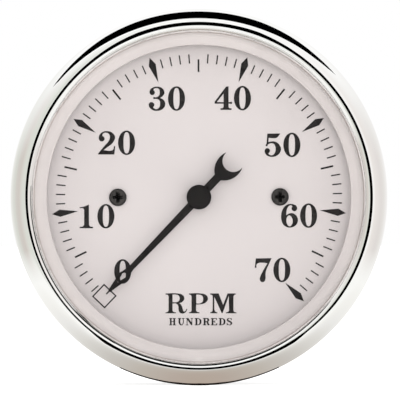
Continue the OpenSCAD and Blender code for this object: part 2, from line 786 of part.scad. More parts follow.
// Shouldered studs: a spigot through the board into the pillar, a hexagonal collar that spaces the
// board from the case, and the long threaded end that the bracket slides on
module mounting_studs() color("silver") standing() for (side = [-1, 1]) translate([side * pillar_x, 0, 0]) {
    chamfer = 0.5;
    bore(spigot_d / 2, board_back_z, board_z + spigot_l);
    hexagon(collar_af, inside_back_z, board_back_z);
    bore(stud_d / 2, stud_end_z + chamfer, inside_back_z);
    translate([0, 0, stud_end_z]) cylinder(r1 = stud_d / 2 - chamfer, r2 = stud_d / 2, h = chamfer);
}

module stud_washers() color("silver") standing() for (side = [-1, 1]) translate([side * pillar_x, 0, 0])
    tube(washer_d / 2, stud_d / 2 + fit_gap, case_back_z - washer_t, case_back_z);

module stud_nuts() color("silver") standing() for (side = [-1, 1]) translate([side * pillar_x, 0, 0])
    difference() {
        hexagon(collar_af, stud_nut_z, case_back_z - washer_t);
        bore(stud_d / 2 + run_gap, stud_nut_z - past, case_back_z);
    }

// Bent strip that straddles the case and bears on the back of the panel with its two feet
module mounting_bracket() color("silver") standing() difference() {
    outer_x = leg_x + bracket_t;
    bend_out = bend_r + bracket_t;
    rotate([90, 0, 0]) translate([0, 0, -bracket_w / 2]) linear_extrude(bracket_w)
        for (side = [0, 1]) mirror([side, 0]) {
            translate([0, bridge_z - bracket_t]) square([outer_x - bend_out, bracket_t]);
            translate([leg_x, bridge_z + bend_r]) square([bracket_t, foot_z - bridge_z - bend_r]);
            translate([leg_x - bend_r, bridge_z + bend_r]) mirror([0, 1]) difference() {
                quarter(bend_out);
                circle(bend_r);
            }
        }
    for (side = [-1, 1]) translate([side * pillar_x, 0, 0])
        bore(stud_d / 2 + 2 * fit_gap, bridge_z - bracket_t - past, bridge_z + past);
}

module thumb_nut(side) translate([side * pillar_x, 0, 0]) difference() {
    chamfer = 0.4;
    flute_r = 0.55;
    rim_r = thumb_nut_d / 2;
    rim_z = thumb_nut_z - thumb_collar_h;
    union() {
        bore(rim_r - 1.2, rim_z - past, thumb_nut_z);
        bore(rim_r, rim_z - thumb_nut_h + chamfer, rim_z - chamfer);
        translate([0, 0, rim_z - chamfer]) cylinder(r1 = rim_r, r2 = rim_r - chamfer, h = chamfer);
        translate([0, 0, rim_z - thumb_nut_h]) cylinder(r1 = rim_r - chamfer, r2 = rim_r, h = chamfer);
    }
    for (i = [0:thumb_flutes - 1]) rotate(i * 360 / thumb_flutes) translate([rim_r + flute_r / 2, 0, 0])
        bore(flute_r, rim_z - thumb_nut_h - past, rim_z + past / 2);
    bore(stud_d / 2 + run_gap, rim_z - thumb_nut_h - past, thumb_nut_z + past);
}

module thumb_nut_left() color("#c8a24a") standing() thumb_nut(-1);

module thumb_nut_right() color("#c8a24a") standing() thumb_nut(1);

module at_terminals() for (p = terminal_spots) translate([p.x, p.y, 0]) children();

module terminal_studs() color("#c8a24a") standing() at_terminals() {
    chamfer = 0.4;
    end_z = case_back_z - terminal_reach;
    bore(terminal_head_d / 2, board_z, board_z + terminal_head_t);
    bore(terminal_d / 2, end_z + chamfer, board_z + terminal_head_t / 2);
    translate([0, 0, end_z]) cylinder(r1 = terminal_d / 2 - chamfer, r2 = terminal_d / 2, h = chamfer);
}

module terminal_spacers() color("#5a3a28") standing() at_terminals()
    tube(insulator_d / 2, terminal_d / 2 + fit_gap, inside_back_z, board_back_z);

module terminal_bushes() color("#5a3a28") standing() at_terminals() difference() {
    union() {
        bore(insulator_d / 2, case_back_z - bush_flange_t, case_back_z);
        bore(bush_collar_d / 2, case_back_z - past / 2, inside_back_z - run_gap);
    }
    bore(terminal_d / 2 + fit_gap, case_back_z - bush_flange_t - past, inside_back_z + past);
}

module terminal_washers() color("silver") standing() at_terminals()
    tube(terminal_d / 2 + terminal_washer_w, terminal_d / 2 + fit_gap,
        case_back_z - bush_flange_t - terminal_washer_t, case_back_z - bush_flange_t);

module terminal_nuts() color("silver") standing() at_terminals() difference() {
    nut_front_z = case_back_z - bush_flange_t - terminal_washer_t;
    hexagon(terminal_nut_af, nut_front_z - terminal_nut_t, nut_front_z);
    bore(terminal_d / 2 + run_gap, nut_front_z - terminal_nut_t - past, nut_front_z + past);
}

// Twist-in holder: a flange and grip behind the case, a body through it, and two tabs that lock
// behind its wall until they are turned back to the key slots
module lamp_holder(spot) translate([spot.x, spot.y, 0]) difference() {
    flange_back_z = case_back_z - holder_flange_t;
    tab_z = inside_back_z + run_gap;
    union() {
        bore(holder_flange_d / 2, flange_back_z, case_back_z);
        bore(holder_d / 2, case_back_z - past / 2, holder_top_z);
        intersection() {
            rotate(holder_turn) translate([-tab_r - past, -tab_w / 2, tab_z])
                cube([2 * tab_r + 2 * past, tab_w, tab_t]);
            bore(tab_r, tab_z - past, tab_z + tab_t + past);
        }
        rotate(holder_turn) translate([-grip_l / 2, -grip_w / 2, flange_back_z - grip_h])
            cube([grip_l, grip_w, grip_h + past / 2]);
    }
    bore(socket_d / 2, holder_top_z - socket_depth, holder_top_z + past);
}

module lamp_holder_left() color("#2a2a2a") standing() lamp_holder(lamp_spots[0]);

module lamp_holder_right() color("#2a2a2a") standing() lamp_holder(lamp_spots[1]);

// Wedge lamp with its base down in the holder
module lamp(spot) translate([spot.x, spot.y, holder_top_z]) {
    base_sunk = socket_depth - fit_gap;
    dome_z = lamp_l - lamp_d / 2;
    translate([0, 0, -base_sunk]) cylinder(d = lamp_base_d, h = base_sunk + 1);
    rotate_extrude() {
        translate([0, fit_gap]) square([lamp_d / 2, dome_z - fit_gap]);
        translate([0, dome_z]) quarter(lamp_d / 2);
    }
}

module lamp_left() color("lightyellow", 0.5) standing() lamp(lamp_spots[0]);

module lamp_right() color("lightyellow", 0.5) standing() lamp(lamp_spots[1]);

bezel();
lens();
lens_gasket();
trim_ring();
dial();
dial_scale();
dial_screws();
pointer();
pointer_hub();
spindle();
rotor_magnet();
front_bearing();
rear_bearing();
bobbin_front();
bobbin_rear();
sine_coil();
cosine_coil();
shield_can();
dial_pillars();
circuit_board();
driver_chip();
smoothing_capacitors();
film_capacitor();
resistors();
trimmer_body();
trimmer_rotor();
selector_switch();
selector_slider();
case();
mounting_studs();
stud_washers();
stud_nuts();
mounting_bracket();
thumb_nut_left();
thumb_nut_right();
terminal_studs();
terminal_spacers();
terminal_bushes();
terminal_washers();
terminal_nuts();
lamp_holder_left();
lamp_holder_right();
lamp_left();
lamp_right();
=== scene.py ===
# Looks of an electric tachometer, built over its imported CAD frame.
# Sizes are bench millimetres: x right, y up the dial, z out of the panel towards the viewer.
import math

import bmesh
import bpy
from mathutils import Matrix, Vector


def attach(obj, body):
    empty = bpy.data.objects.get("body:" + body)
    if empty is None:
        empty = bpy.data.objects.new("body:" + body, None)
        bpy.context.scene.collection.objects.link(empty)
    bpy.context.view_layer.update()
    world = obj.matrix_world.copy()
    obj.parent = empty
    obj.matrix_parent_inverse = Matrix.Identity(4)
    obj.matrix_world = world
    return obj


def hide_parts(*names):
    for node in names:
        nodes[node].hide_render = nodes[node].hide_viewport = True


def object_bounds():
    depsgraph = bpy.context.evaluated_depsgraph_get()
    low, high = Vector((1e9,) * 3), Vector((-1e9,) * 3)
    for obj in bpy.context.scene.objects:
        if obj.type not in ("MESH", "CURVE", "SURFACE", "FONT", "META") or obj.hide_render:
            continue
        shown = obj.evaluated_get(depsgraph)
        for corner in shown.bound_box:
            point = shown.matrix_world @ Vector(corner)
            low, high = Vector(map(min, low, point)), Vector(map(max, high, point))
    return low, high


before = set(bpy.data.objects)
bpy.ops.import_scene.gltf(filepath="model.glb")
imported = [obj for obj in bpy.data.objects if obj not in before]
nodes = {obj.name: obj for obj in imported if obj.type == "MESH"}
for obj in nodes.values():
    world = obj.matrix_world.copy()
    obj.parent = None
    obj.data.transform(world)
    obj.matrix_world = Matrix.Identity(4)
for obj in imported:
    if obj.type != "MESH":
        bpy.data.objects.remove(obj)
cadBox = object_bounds()
scene = bpy.context.scene


def bench(x, y, z):
    return Vector((x, -z, y)) / 1000  # the frame's metres


# Camera: square to the dial and almost level, with a long lens
view = {"lens": 791.5, "sensor": 36.0, "away": 2000.0, "plane": 5.25, "right": 0.24, "drop": -0.66,
        "roll": 0.2, "clipM": (0.02, 40)}
cameraData = bpy.data.cameras.new("catalogueCamera")
cameraData.lens, cameraData.sensor_width = view["lens"], view["sensor"]
cameraData.clip_start, cameraData.clip_end = view["clipM"]
camera = bpy.data.objects.new("catalogueCamera", cameraData)
camera.location = bench(view["right"], view["drop"], view["plane"] + view["away"])
camera.rotation_euler = (math.pi / 2, math.radians(view["roll"]), 0)
scene.collection.objects.link(camera)
scene.camera = camera
print("camera placed")


def linear(hexColour, alpha=1.0):
    parts = [int(hexColour[i:i + 2], 16) / 255 for i in (1, 3, 5)]
    return (*[c / 12.92 if c <= 0.04045 else ((c + 0.055) / 1.055) ** 2.4 for c in parts], alpha)


def addNode(tree, kind, settings=None, links=None):
    node = tree.nodes.new(kind)
    for key, value in (settings or {}).items():
        if isinstance(key, str) and hasattr(node, key):
            setattr(node, key, value)
        else:
            node.inputs[key].default_value = value
    for key, source in (links or {}).items():
        tree.links.new(source, node.inputs[key])
    return node


def emptyMaterial(name):
    material = bpy.data.materials.new(name)
    material.use_nodes = True
    material.node_tree.nodes.clear()
    return material, material.node_tree


def toneRamp(tree, tones, source):
    ramp = addNode(tree, "ShaderNodeValToRGB", links={"Fac": source})
    stops = ramp.color_ramp.elements
    while len(stops) < len(tones):
        stops.new(0.5)
    for stop, (position, colour) in zip(stops, tones):
        stop.position, stop.color = position, linear(colour)
    return ramp.outputs["Color"]


# Painted light and shade across a piece: (mm, colour) along the height or the radius, laid over the base
def paintedLightTone(tree, place, finish, tone):
    byRadius = finish["paintedLightAlong"] == "radius"
    axes = (1, 0, 1) if byRadius else (0, -1, 0)
    kept = addNode(tree, "ShaderNodeVectorMath", {"operation": "MULTIPLY", 1: axes}, {0: place})
    if byRadius:
        length = addNode(tree, "ShaderNodeVectorMath", {"operation": "LENGTH"}, {0: kept.outputs["Vector"]})
        reach = length.outputs["Value"]
    else:
        reach = addNode(tree, "ShaderNodeSeparateXYZ", links={"Vector": kept.outputs["Vector"]}).outputs["Y"]
    near, far = finish["paintedLightZones"][0][0], finish["paintedLightZones"][-1][0]
    share = addNode(tree, "ShaderNodeMapRange", {"From Min": near / 1000, "From Max": far / 1000},
                    {"Value": reach})
    laid = toneRamp(tree, [((mm - near) / (far - near), colour) for mm, colour in finish["paintedLightZones"]],
                    share.outputs["Result"])
    return addNode(tree, "ShaderNodeMix", {"data_type": "RGBA", "blend_type": "MULTIPLY", 0: 1.0},
                   {6: tone, 7: laid}).outputs[2]


driftSpan, grainSpan = (0.32, 0.68), (0.3, 0.7)  # the part of each noise's range that is used


# One worked surface: a base colour that drifts between two tones, a roughness that follows the
# tool or mould marks, and the marks' own relief. Every size is in millimetres on the object.
def workedFinish(name, finish):
    material, tree = emptyMaterial(name)
    place = addNode(tree, "ShaderNodeTexCoord").outputs["Object"]
    drift = addNode(tree, "ShaderNodeTexNoise",
                    {"Scale": 1000 / finish["driftMm"], "Detail": 3.0, "Roughness": 0.55}, {"Vector": place})
    blend = addNode(tree, "ShaderNodeMapRange", {"From Min": driftSpan[0], "From Max": driftSpan[1]},
                    {"Value": drift.outputs["Fac"]})
    tone = addNode(tree, "ShaderNodeMix",
                   {"data_type": "RGBA", 6: linear(finish["deep"]), 7: linear(finish["pale"])},
                   {0: blend.outputs["Result"]}).outputs[2]
    marks = addNode(tree, "ShaderNodeMapping",
                    {"Scale": [1000 / size for size in finish["marksMm"]]}, {"Vector": place})
    grain = addNode(tree, "ShaderNodeTexNoise", {"Scale": 1.0, "Detail": finish.get("markDetail", 2.0)},
                    {"Vector": marks.outputs["Vector"]})
    # painted light and shade, by height or radius
    if "paintedLightZones" in finish:
        tone = paintedLightTone(tree, place, finish, tone)
    if "fleck" in finish:  # fine specks of a second colour
        specks = addNode(tree, "ShaderNodeTexVoronoi", {"Scale": 1000 / finish["fleckMm"]},
                         {"Vector": place})
        spot = addNode(tree, "ShaderNodeMapRange", {"From Min": finish["fleckReach"], "From Max": 0.0},
                       {"Value": specks.outputs["Distance"]})
        tone = addNode(tree, "ShaderNodeMix", {"data_type": "RGBA", 7: linear(finish["fleck"])},
                       {0: spot.outputs["Result"], 6: tone}).outputs[2]
    gloss = addNode(tree, "ShaderNodeMapRange",
                    {"From Min": grainSpan[0], "From Max": grainSpan[1],
                     "To Min": finish["smooth"], "To Max": finish["rough"]}, {"Value": grain.outputs["Fac"]})
    relief = addNode(tree, "ShaderNodeBump", {"Strength": 1.0, "Distance": finish["reliefMm"] / 1000},
                     {"Height": grain.outputs["Fac"]})
    if "edgeMm" in finish:  # sharp edges are broken by this much
        edge = addNode(tree, "ShaderNodeBevel", {"samples": 4, "Radius": finish["edgeMm"] / 1000})
        tree.links.new(edge.outputs["Normal"], relief.inputs["Normal"])
    shader = addNode(tree, "ShaderNodeBsdfPrincipled", finish.get("sockets", {}),
                     {"Base Color": tone, "Roughness": gloss.outputs["Result"],
                      "Normal": relief.outputs["Normal"]})
    addNode(tree, "ShaderNodeOutputMaterial", links={"Surface": shader.outputs["BSDF"]})
    return material


# Clear pane or bulb: refracts for the eye, and lets the lamps' light straight through
def clearGlass(name, finish):
    material, tree = emptyMaterial(name)
    place = addNode(tree, "ShaderNodeTexCoord").outputs["Object"]
    ripple = addNode(tree, "ShaderNodeTexNoise", {"Scale": 1000 / finish["rippleMm"], "Detail": 1.0},
                     {"Vector": place})
    gloss = addNode(tree, "ShaderNodeMapRange", {"To Min": finish["smooth"], "To Max": finish["rough"]},
                    {"Value": ripple.outputs["Fac"]})
    wave = addNode(tree, "ShaderNodeBump", {"Strength": 1.0, "Distance": finish["reliefMm"] / 1000},
                   {"Height": ripple.outputs["Fac"]})
    glass = addNode(tree, "ShaderNodeBsdfPrincipled",
                    {"Base Color": linear(finish["tint"]), "IOR": finish["ior"], "Transmission Weight": 1.0},
                    {"Roughness": gloss.outputs["Result"], "Normal": wave.outputs["Normal"]})
    through = addNode(tree, "ShaderNodeBsdfTransparent", {"Color": linear(finish["tint"])})
    ray = addNode(tree, "ShaderNodeLightPath")
    lampRay = addNode(tree, "ShaderNodeMath", {"operation": "MAXIMUM"},
                      {0: ray.outputs["Is Shadow Ray"], 1: ray.outputs["Is Diffuse Ray"]})
    both = addNode(tree, "ShaderNodeMixShader", links={
        0: lampRay.outputs["Value"], 1: glass.outputs["BSDF"], 2: through.outputs["BSDF"]})
    addNode(tree, "ShaderNodeOutputMaterial", links={"Surface": both.outputs["Shader"]})
    return material


finishes = {
    # bright chromium over polished nickel: a mirror, with buffing marks too fine to break the lines
    "bezel_chrome": workedFinish("polishedChromePlate", {
        "pale": "#FDFDFC", "deep": "#FAFAF8", "driftMm": 14, "marksMm": (3.0, 3.0, 3.0),
        "smooth": 0.004, "rough": 0.014, "reliefMm": 0.00002, "sockets": {"Metallic": 1.0}}),
    # cut float glass: clear, a trace of green, no waves that show
    "lens_glass": clearGlass("cutFloatGlass", {
        "tint": "#FFFEFE", "ior": 1.5, "rippleMm": 30, "smooth": 0.0, "rough": 0.01, "reliefMm": 0.0001}),
    # moulded silicone rubber: milky and dull, so that it throws light back on the trim ring
    "gasket_rubber": workedFinish("mouldedSiliconeRubber", {
        "pale": "#F6F4F1", "deep": "#EFEDE9", "driftMm": 4, "marksMm": (0.25, 0.25, 0.25),
        "smooth": 0.62, "rough": 0.8, "reliefMm": 0.01, "sockets": {"IOR": 1.5}}),
    # injection-moulded ivory ABS: soft satin skin, with painted light and shade laid on by radius
    "trim_plastic": workedFinish("mouldedIvoryAbs", {
        "pale": "#F6F1EF", "deep": "#F3EEEC", "driftMm": 22, "marksMm": (0.3, 0.3, 0.3),
        "smooth": 0.38, "rough": 0.5, "reliefMm": 0.004, "sockets": {"IOR": 1.53},
        # painted shade greys the sleeve and a line where the lip seats; painted light whitens the face towards
        # the lip
        "paintedLightAlong": "radius", "paintedLightZones": [(34.4, "#8E8A88"), (34.61, "#8E8A88"), (34.68, "#F0EFEF"),
                                          (36.8, "#FFFFFF"), (37.36, "#FFFFFF"), (37.46, "#E2DEDB"),
                                          (37.8, "#D8D4D1")]}),
    # sprayed eggshell enamel on aluminium: even, matt, very slight orange peel and dust
    "dial_paint": workedFinish("sprayedEggshellEnamel", {
        "pale": "#E6E1E0", "deep": "#E2DDDC", "driftMm": 26, "marksMm": (0.5, 0.5, 0.5), "markDetail": 4.0,
        "smooth": 0.5, "rough": 0.62, "reliefMm": 0.004, "sockets": {"IOR": 1.48}}),
    # screen-printed ink: dense warm black, slightly shinier than the enamel
    "scale_ink": workedFinish("screenPrintedInk", {
        "pale": "#1B1716", "deep": "#161312", "driftMm": 3, "marksMm": (0.12, 0.12, 0.12),
        "smooth": 0.42, "rough": 0.55, "reliefMm": 0.002, "sockets": {"IOR": 1.48}}),
    # oiled black oxide on steel: painted shade, black at the rim and in the recess; painted sheen, charcoal on
    # the dome
    "screw_black": workedFinish("oiledBlackOxide", {
        "pale": "#FFFFFE", "deep": "#E6E6E4", "driftMm": 0.8, "marksMm": (0.12, 0.12, 0.12),
        "smooth": 0.4, "rough": 0.55, "reliefMm": 0.003, "sockets": {"IOR": 1.5},
        "paintedLightAlong": "height", "paintedLightZones": [(-2.0, "#121211"), (-1.72, "#161615"), (-1.6, "#393735")]}),
    # matt black lacquer on stamped aluminium
    "pointer_paint": workedFinish("mattBlackLacquer", {
        "pale": "#181513", "deep": "#131110", "driftMm": 5, "marksMm": (0.2, 0.2, 0.2),
        "smooth": 0.5, "rough": 0.65, "reliefMm": 0.002, "sockets": {"IOR": 1.4}}),
    # ground steel rod: bright, with lines round the shaft
    "turned_steel": workedFinish("groundSteelRod", {
        "pale": "#C9CACB", "deep": "#AFB0B2", "driftMm": 2, "marksMm": (6, 0.12, 6),
        "smooth": 0.18, "rough": 0.34, "reliefMm": 0.002, "sockets": {"Metallic": 1.0}}),
    # sintered ferrite: dead grey-black with a granular break
    "magnet_ferrite": workedFinish("sinteredFerrite", {
        "pale": "#4C4B4A", "deep": "#333231", "driftMm": 1.5, "marksMm": (0.2, 0.2, 0.2), "markDetail": 5.0,
        "smooth": 0.5, "rough": 0.75, "reliefMm": 0.015, "sockets": {"IOR": 1.8},
        "fleck": "#7B7974", "fleckMm": 0.45, "fleckReach": 0.16}),
    # turned brass: warm metal with lathe lines and a little tarnish
    "turned_brass": workedFinish("turnedBrass", {
        "pale": "#D8B672", "deep": "#B48E4C", "driftMm": 5, "marksMm": (9, 0.16, 9),
        "smooth": 0.2, "rough": 0.38, "reliefMm": 0.003, "edgeMm": 0.12, "sockets": {"Metallic": 1.0}}),
    # natural nylon: milky, waxy, slightly see-through at the edges
    "bobbin_nylon": workedFinish("naturalNylon", {
        "pale": "#EAE4D2", "deep": "#DDD5BE", "driftMm": 9, "marksMm": (0.4, 0.4, 0.4),
        "smooth": 0.36, "rough": 0.5, "reliefMm": 0.006,
        "sockets": {"IOR": 1.53, "Subsurface Weight": 0.12, "Subsurface Scale": 0.002}}),
    # enamelled copper wire, laid side by side: 0.2 mm wire, drawn at 0.4 mm so that the turns show
    "winding_copper": workedFinish("enamelledCopperWire", {
        "pale": "#C46A3C", "deep": "#8E3E1C", "driftMm": 1.1, "marksMm": (0.4, 5.0, 0.4),
        "smooth": 0.2, "rough": 0.42, "reliefMm": 0.06, "sockets": {"Metallic": 1.0, "Coat Weight": 0.6}}),
    # drawn nickel-iron can, annealed: pale grey, softly clouded
    "can_steel": workedFinish("annealedNickelIron", {
        "pale": "#BDBCB8", "deep": "#9E9C97", "driftMm": 4, "marksMm": (4, 0.3, 4),
        "smooth": 0.3, "rough": 0.46, "reliefMm": 0.004, "sockets": {"Metallic": 1.0}}),
    # glass-epoxy board under green lacquer, the cloth's weave just showing (0.5 mm yarns)
    "board_laminate": workedFinish("lacqueredGlassEpoxy", {
        "pale": "#4C7A4A", "deep": "#2F5E36", "driftMm": 7, "marksMm": (0.5, 0.5, 0.5),
        "smooth": 0.28, "rough": 0.42, "reliefMm": 0.012, "sockets": {"IOR": 1.55, "Coat Weight": 0.3}}),
    # moulded epoxy of a chip: fine eroded matt
    "chip_epoxy": workedFinish("mouldedChipEpoxy", {
        "pale": "#353535", "deep": "#272727", "driftMm": 3, "marksMm": (0.15, 0.15, 0.15),
        "smooth": 0.5, "rough": 0.65, "reliefMm": 0.006, "sockets": {"IOR": 1.55}}),
    # shrunk vinyl sleeve: tight, glossy, slightly rippled
    "capacitor_sleeve": workedFinish("shrunkVinylSleeve", {
        "pale": "#3A4468", "deep": "#29304E", "driftMm": 5, "marksMm": (1.6, 1.6, 1.6),
        "smooth": 0.14, "rough": 0.26, "reliefMm": 0.03, "sockets": {"IOR": 1.54}}),
    # dipped lacquer on a film capacitor: thick, rounded, glossy
    "film_lacquer": workedFinish("dippedFilmLacquer", {
        "pale": "#B85036", "deep": "#97331F", "driftMm": 4, "marksMm": (1.2, 1.2, 1.2),
        "smooth": 0.16, "rough": 0.3, "reliefMm": 0.03, "sockets": {"IOR": 1.5}}),
    # resistor lacquer over ceramic: tan and chalky
    "resistor_lacquer": workedFinish("resistorLacquer", {
        "pale": "#C9A878", "deep": "#AF8C5C", "driftMm": 2, "marksMm": (0.3, 0.3, 0.3),
        "smooth": 0.4, "rough": 0.55, "reliefMm": 0.01, "sockets": {"IOR": 1.5}}),
    # blue thermoset shell of the trimmer
    "trimmer_blue": workedFinish("mouldedBlueThermoset", {
        "pale": "#3D62B4", "deep": "#2C4C98", "driftMm": 3, "marksMm": (0.25, 0.25, 0.25),
        "smooth": 0.22, "rough": 0.34, "reliefMm": 0.004, "sockets": {"IOR": 1.55}}),
    # white nylon rotor of the trimmer
    "trimmer_white": workedFinish("mouldedWhiteNylon", {
        "pale": "#EDEDE8", "deep": "#E0E0DA", "driftMm": 2, "marksMm": (0.25, 0.25, 0.25),
        "smooth": 0.34, "rough": 0.46, "reliefMm": 0.004, "sockets": {"IOR": 1.53}}),
    # tinned, pressed steel of the switch shell
    "switch_steel": workedFinish("tinnedPressedSteel", {
        "pale": "#C0C1C1", "deep": "#A0A1A2", "driftMm": 3, "marksMm": (5, 0.4, 0.4),
        "smooth": 0.26, "rough": 0.42, "reliefMm": 0.004, "sockets": {"Metallic": 1.0}}),
    # glass-filled black nylon: dull with a dry grain
    "black_nylon": workedFinish("glassFilledNylon", {
        "pale": "#3A3A3A", "deep": "#2A2A2A", "driftMm": 5, "marksMm": (0.3, 0.3, 0.3), "markDetail": 4.0,
        "smooth": 0.44, "rough": 0.62, "reliefMm": 0.014, "edgeMm": 0.3, "sockets": {"IOR": 1.53}}),
    # stoved black enamel on drawn steel: satin gloss with orange peel about 1.5 mm across
    "case_enamel": workedFinish("stovedBlackEnamel", {
        "pale": "#2F2F30", "deep": "#242425", "driftMm": 16, "marksMm": (1.5, 1.5, 1.5),
        "smooth": 0.24, "rough": 0.34, "reliefMm": 0.012, "edgeMm": 0.4, "sockets": {"IOR": 1.52},
        "fleck": "#4A4A4B", "fleckMm": 2.2, "fleckReach": 0.05}),
    # clear-passivated zinc: cool pale metal with a cloudy bloom
    "zinc_steel": workedFinish("clearZincPlate", {
        "pale": "#D0D3D5", "deep": "#BFC4C7", "driftMm": 5, "marksMm": (1.2, 0.5, 1.2),
        "smooth": 0.22, "rough": 0.38, "reliefMm": 0.004, "edgeMm": 0.2, "sockets": {"Metallic": 1.0}}),
    # pressed phenolic paper: brown, with fibres
    "insulator_phenolic": workedFinish("pressedPhenolicPaper", {
        "pale": "#6E4630", "deep": "#4E2C1C", "driftMm": 1.4, "marksMm": (0.9, 0.2, 0.9),
        "smooth": 0.34, "rough": 0.5, "reliefMm": 0.006, "sockets": {"IOR": 1.6}}),
    # blown lamp glass: clear, faintly warm
    "lamp_glass": clearGlass("blownLampGlass", {
        "tint": "#FBFAF4", "ior": 1.5, "rippleMm": 5, "smooth": 0.0, "rough": 0.03, "reliefMm": 0.004}),
}
print(f"{len(finishes)} finishes mixed")

# Carried-over CAD solids take the finish of their slot
for node in nodes.values():
    slotName = node.data.materials[0].name.split(".")[0]
    node.data.materials[0] = finishes[slotName]
print(f"{len(nodes)} solids finished")


# Making of pieces
weldReach = 2e-7  # metres: points as close as this are one


def fitPiece(name, mesh, body, slotName, instead=()):
    piece = bpy.data.objects.new(name, mesh)
    scene.collection.objects.link(piece)
    mesh.materials.clear()
    mesh.materials.append(finishes[slotName])
    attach(piece, body)
    if instead:
        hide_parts(*instead)
    return piece


def meshFrom(name, points, faces, creaseAngle=35):
    mesh = bpy.data.meshes.new(name)
    mesh.from_pydata(points, [], faces)
    work = bmesh.new()
    work.from_mesh(mesh)
    bmesh.ops.remove_doubles(work, verts=work.verts, dist=weldReach)
    bmesh.ops.recalc_face_normals(work, faces=work.faces)
    for edge in work.edges:
        edge.smooth = len(edge.link_faces) != 2 or edge.calc_face_angle(0) < math.radians(creaseAngle)
    for face in work.faces:
        face.smooth = True
    work.to_mesh(mesh)
    work.free()
    return mesh


def arc(centreR, centreZ, radius, fromDeg, toDeg, steps):
    turns = [math.radians(fromDeg + (toDeg - fromDeg) * k / steps) for k in range(steps + 1)]
    return [(centreR + radius * math.cos(t), centreZ + radius * math.sin(t)) for t in turns]


def addTurned(points, faces, profileAt, turns, at=(0, 0)):
    # profileAt gives the closed section at an angle, so that hexagons and recesses turn up too;
    # turns is a number of even steps, or the angles themselves
    if isinstance(turns, int):
        turns = [2 * math.pi * step / turns for step in range(turns)]
    start, count, around = len(points), len(profileAt(0.0)), len(turns)
    for turn in turns:
        for radius, height in profileAt(turn):
            points.append(bench(at[0] + radius * math.cos(turn), at[1] + radius * math.sin(turn), height))
    for step in range(around):
        here, there = start + step * count, start + (step + 1) % around * count
        for k in range(count):
            n = (k + 1) % count
            faces.append((here + k, here + n, there + n, there + k))


# Bezel: rolled sheet, turned finely so that the mirror lines stay clean
bezel = {"around": 400, "crest": 39.1, "height": 9.0, "outerRoll": 3.75, "innerRoll": 1.5, "sheet": 0.6,
         "lipAt": 5.4, "lipEdge": 0.25, "crimpReach": 39.9, "crimpEdge": 0.2, "crease": 50,
         "outerSteps": 48, "innerSteps": 32, "hiddenSteps": (10, 12), "edgeSteps": 3, "foldSteps": 6}
crest, sheet, lipEdge, crimpEdge = (bezel[key] for key in ("crest", "sheet", "lipEdge", "crimpEdge"))
outerRollAt = bezel["height"] - bezel["outerRoll"]
innerRollAt = bezel["height"] - bezel["innerRoll"]
lip = crest - bezel["innerRoll"]
skirt = crest + bezel["outerRoll"] - sheet  # the outer wall's inside
section = (
    arc(crest, outerRollAt, bezel["outerRoll"], 0, 90, bezel["outerSteps"])
    + arc(crest, innerRollAt, bezel["innerRoll"], 90, 180, bezel["innerSteps"])[1:]
    + arc(lip + lipEdge, bezel["lipAt"] + lipEdge, lipEdge, 180, 270, bezel["edgeSteps"])
    + [(lip + sheet, bezel["lipAt"])]
    + arc(crest, innerRollAt, bezel["innerRoll"] - sheet, 180, 90, bezel["hiddenSteps"][0])
    + arc(crest, outerRollAt, bezel["outerRoll"] - sheet, 90, 0, bezel["hiddenSteps"][1])[1:]
    + [(skirt, sheet), (bezel["crimpReach"], sheet)]
    + arc(bezel["crimpReach"] + crimpEdge, crimpEdge, crimpEdge, 180, 270, bezel["edgeSteps"])
    + arc(skirt, sheet, sheet, -90, 0, bezel["foldSteps"])
)
points, faces = [], []
addTurned(points, faces, lambda turn: section, bezel["around"])
rolled = meshFrom("rolledBezel", points, faces, bezel["crease"])
fitPiece("rolled_bezel", rolled, "gauge", "bezel_chrome", ["bezel"])
print("bezel rolled")


# Numerals and words, drawn as outlines in photograph pixels up and right of each letter's corner.
# A point with a third value is a corner, the rest are smooth.
def mirrored(middle, quarter):
    half = quarter + [(x, -y) for x, y in reversed(quarter[:-1])]
    whole = half + [(-x, y) for x, y in reversed(half[1:-1])]
    return [(middle[0] + x, middle[1] + y) for x, y in whole]


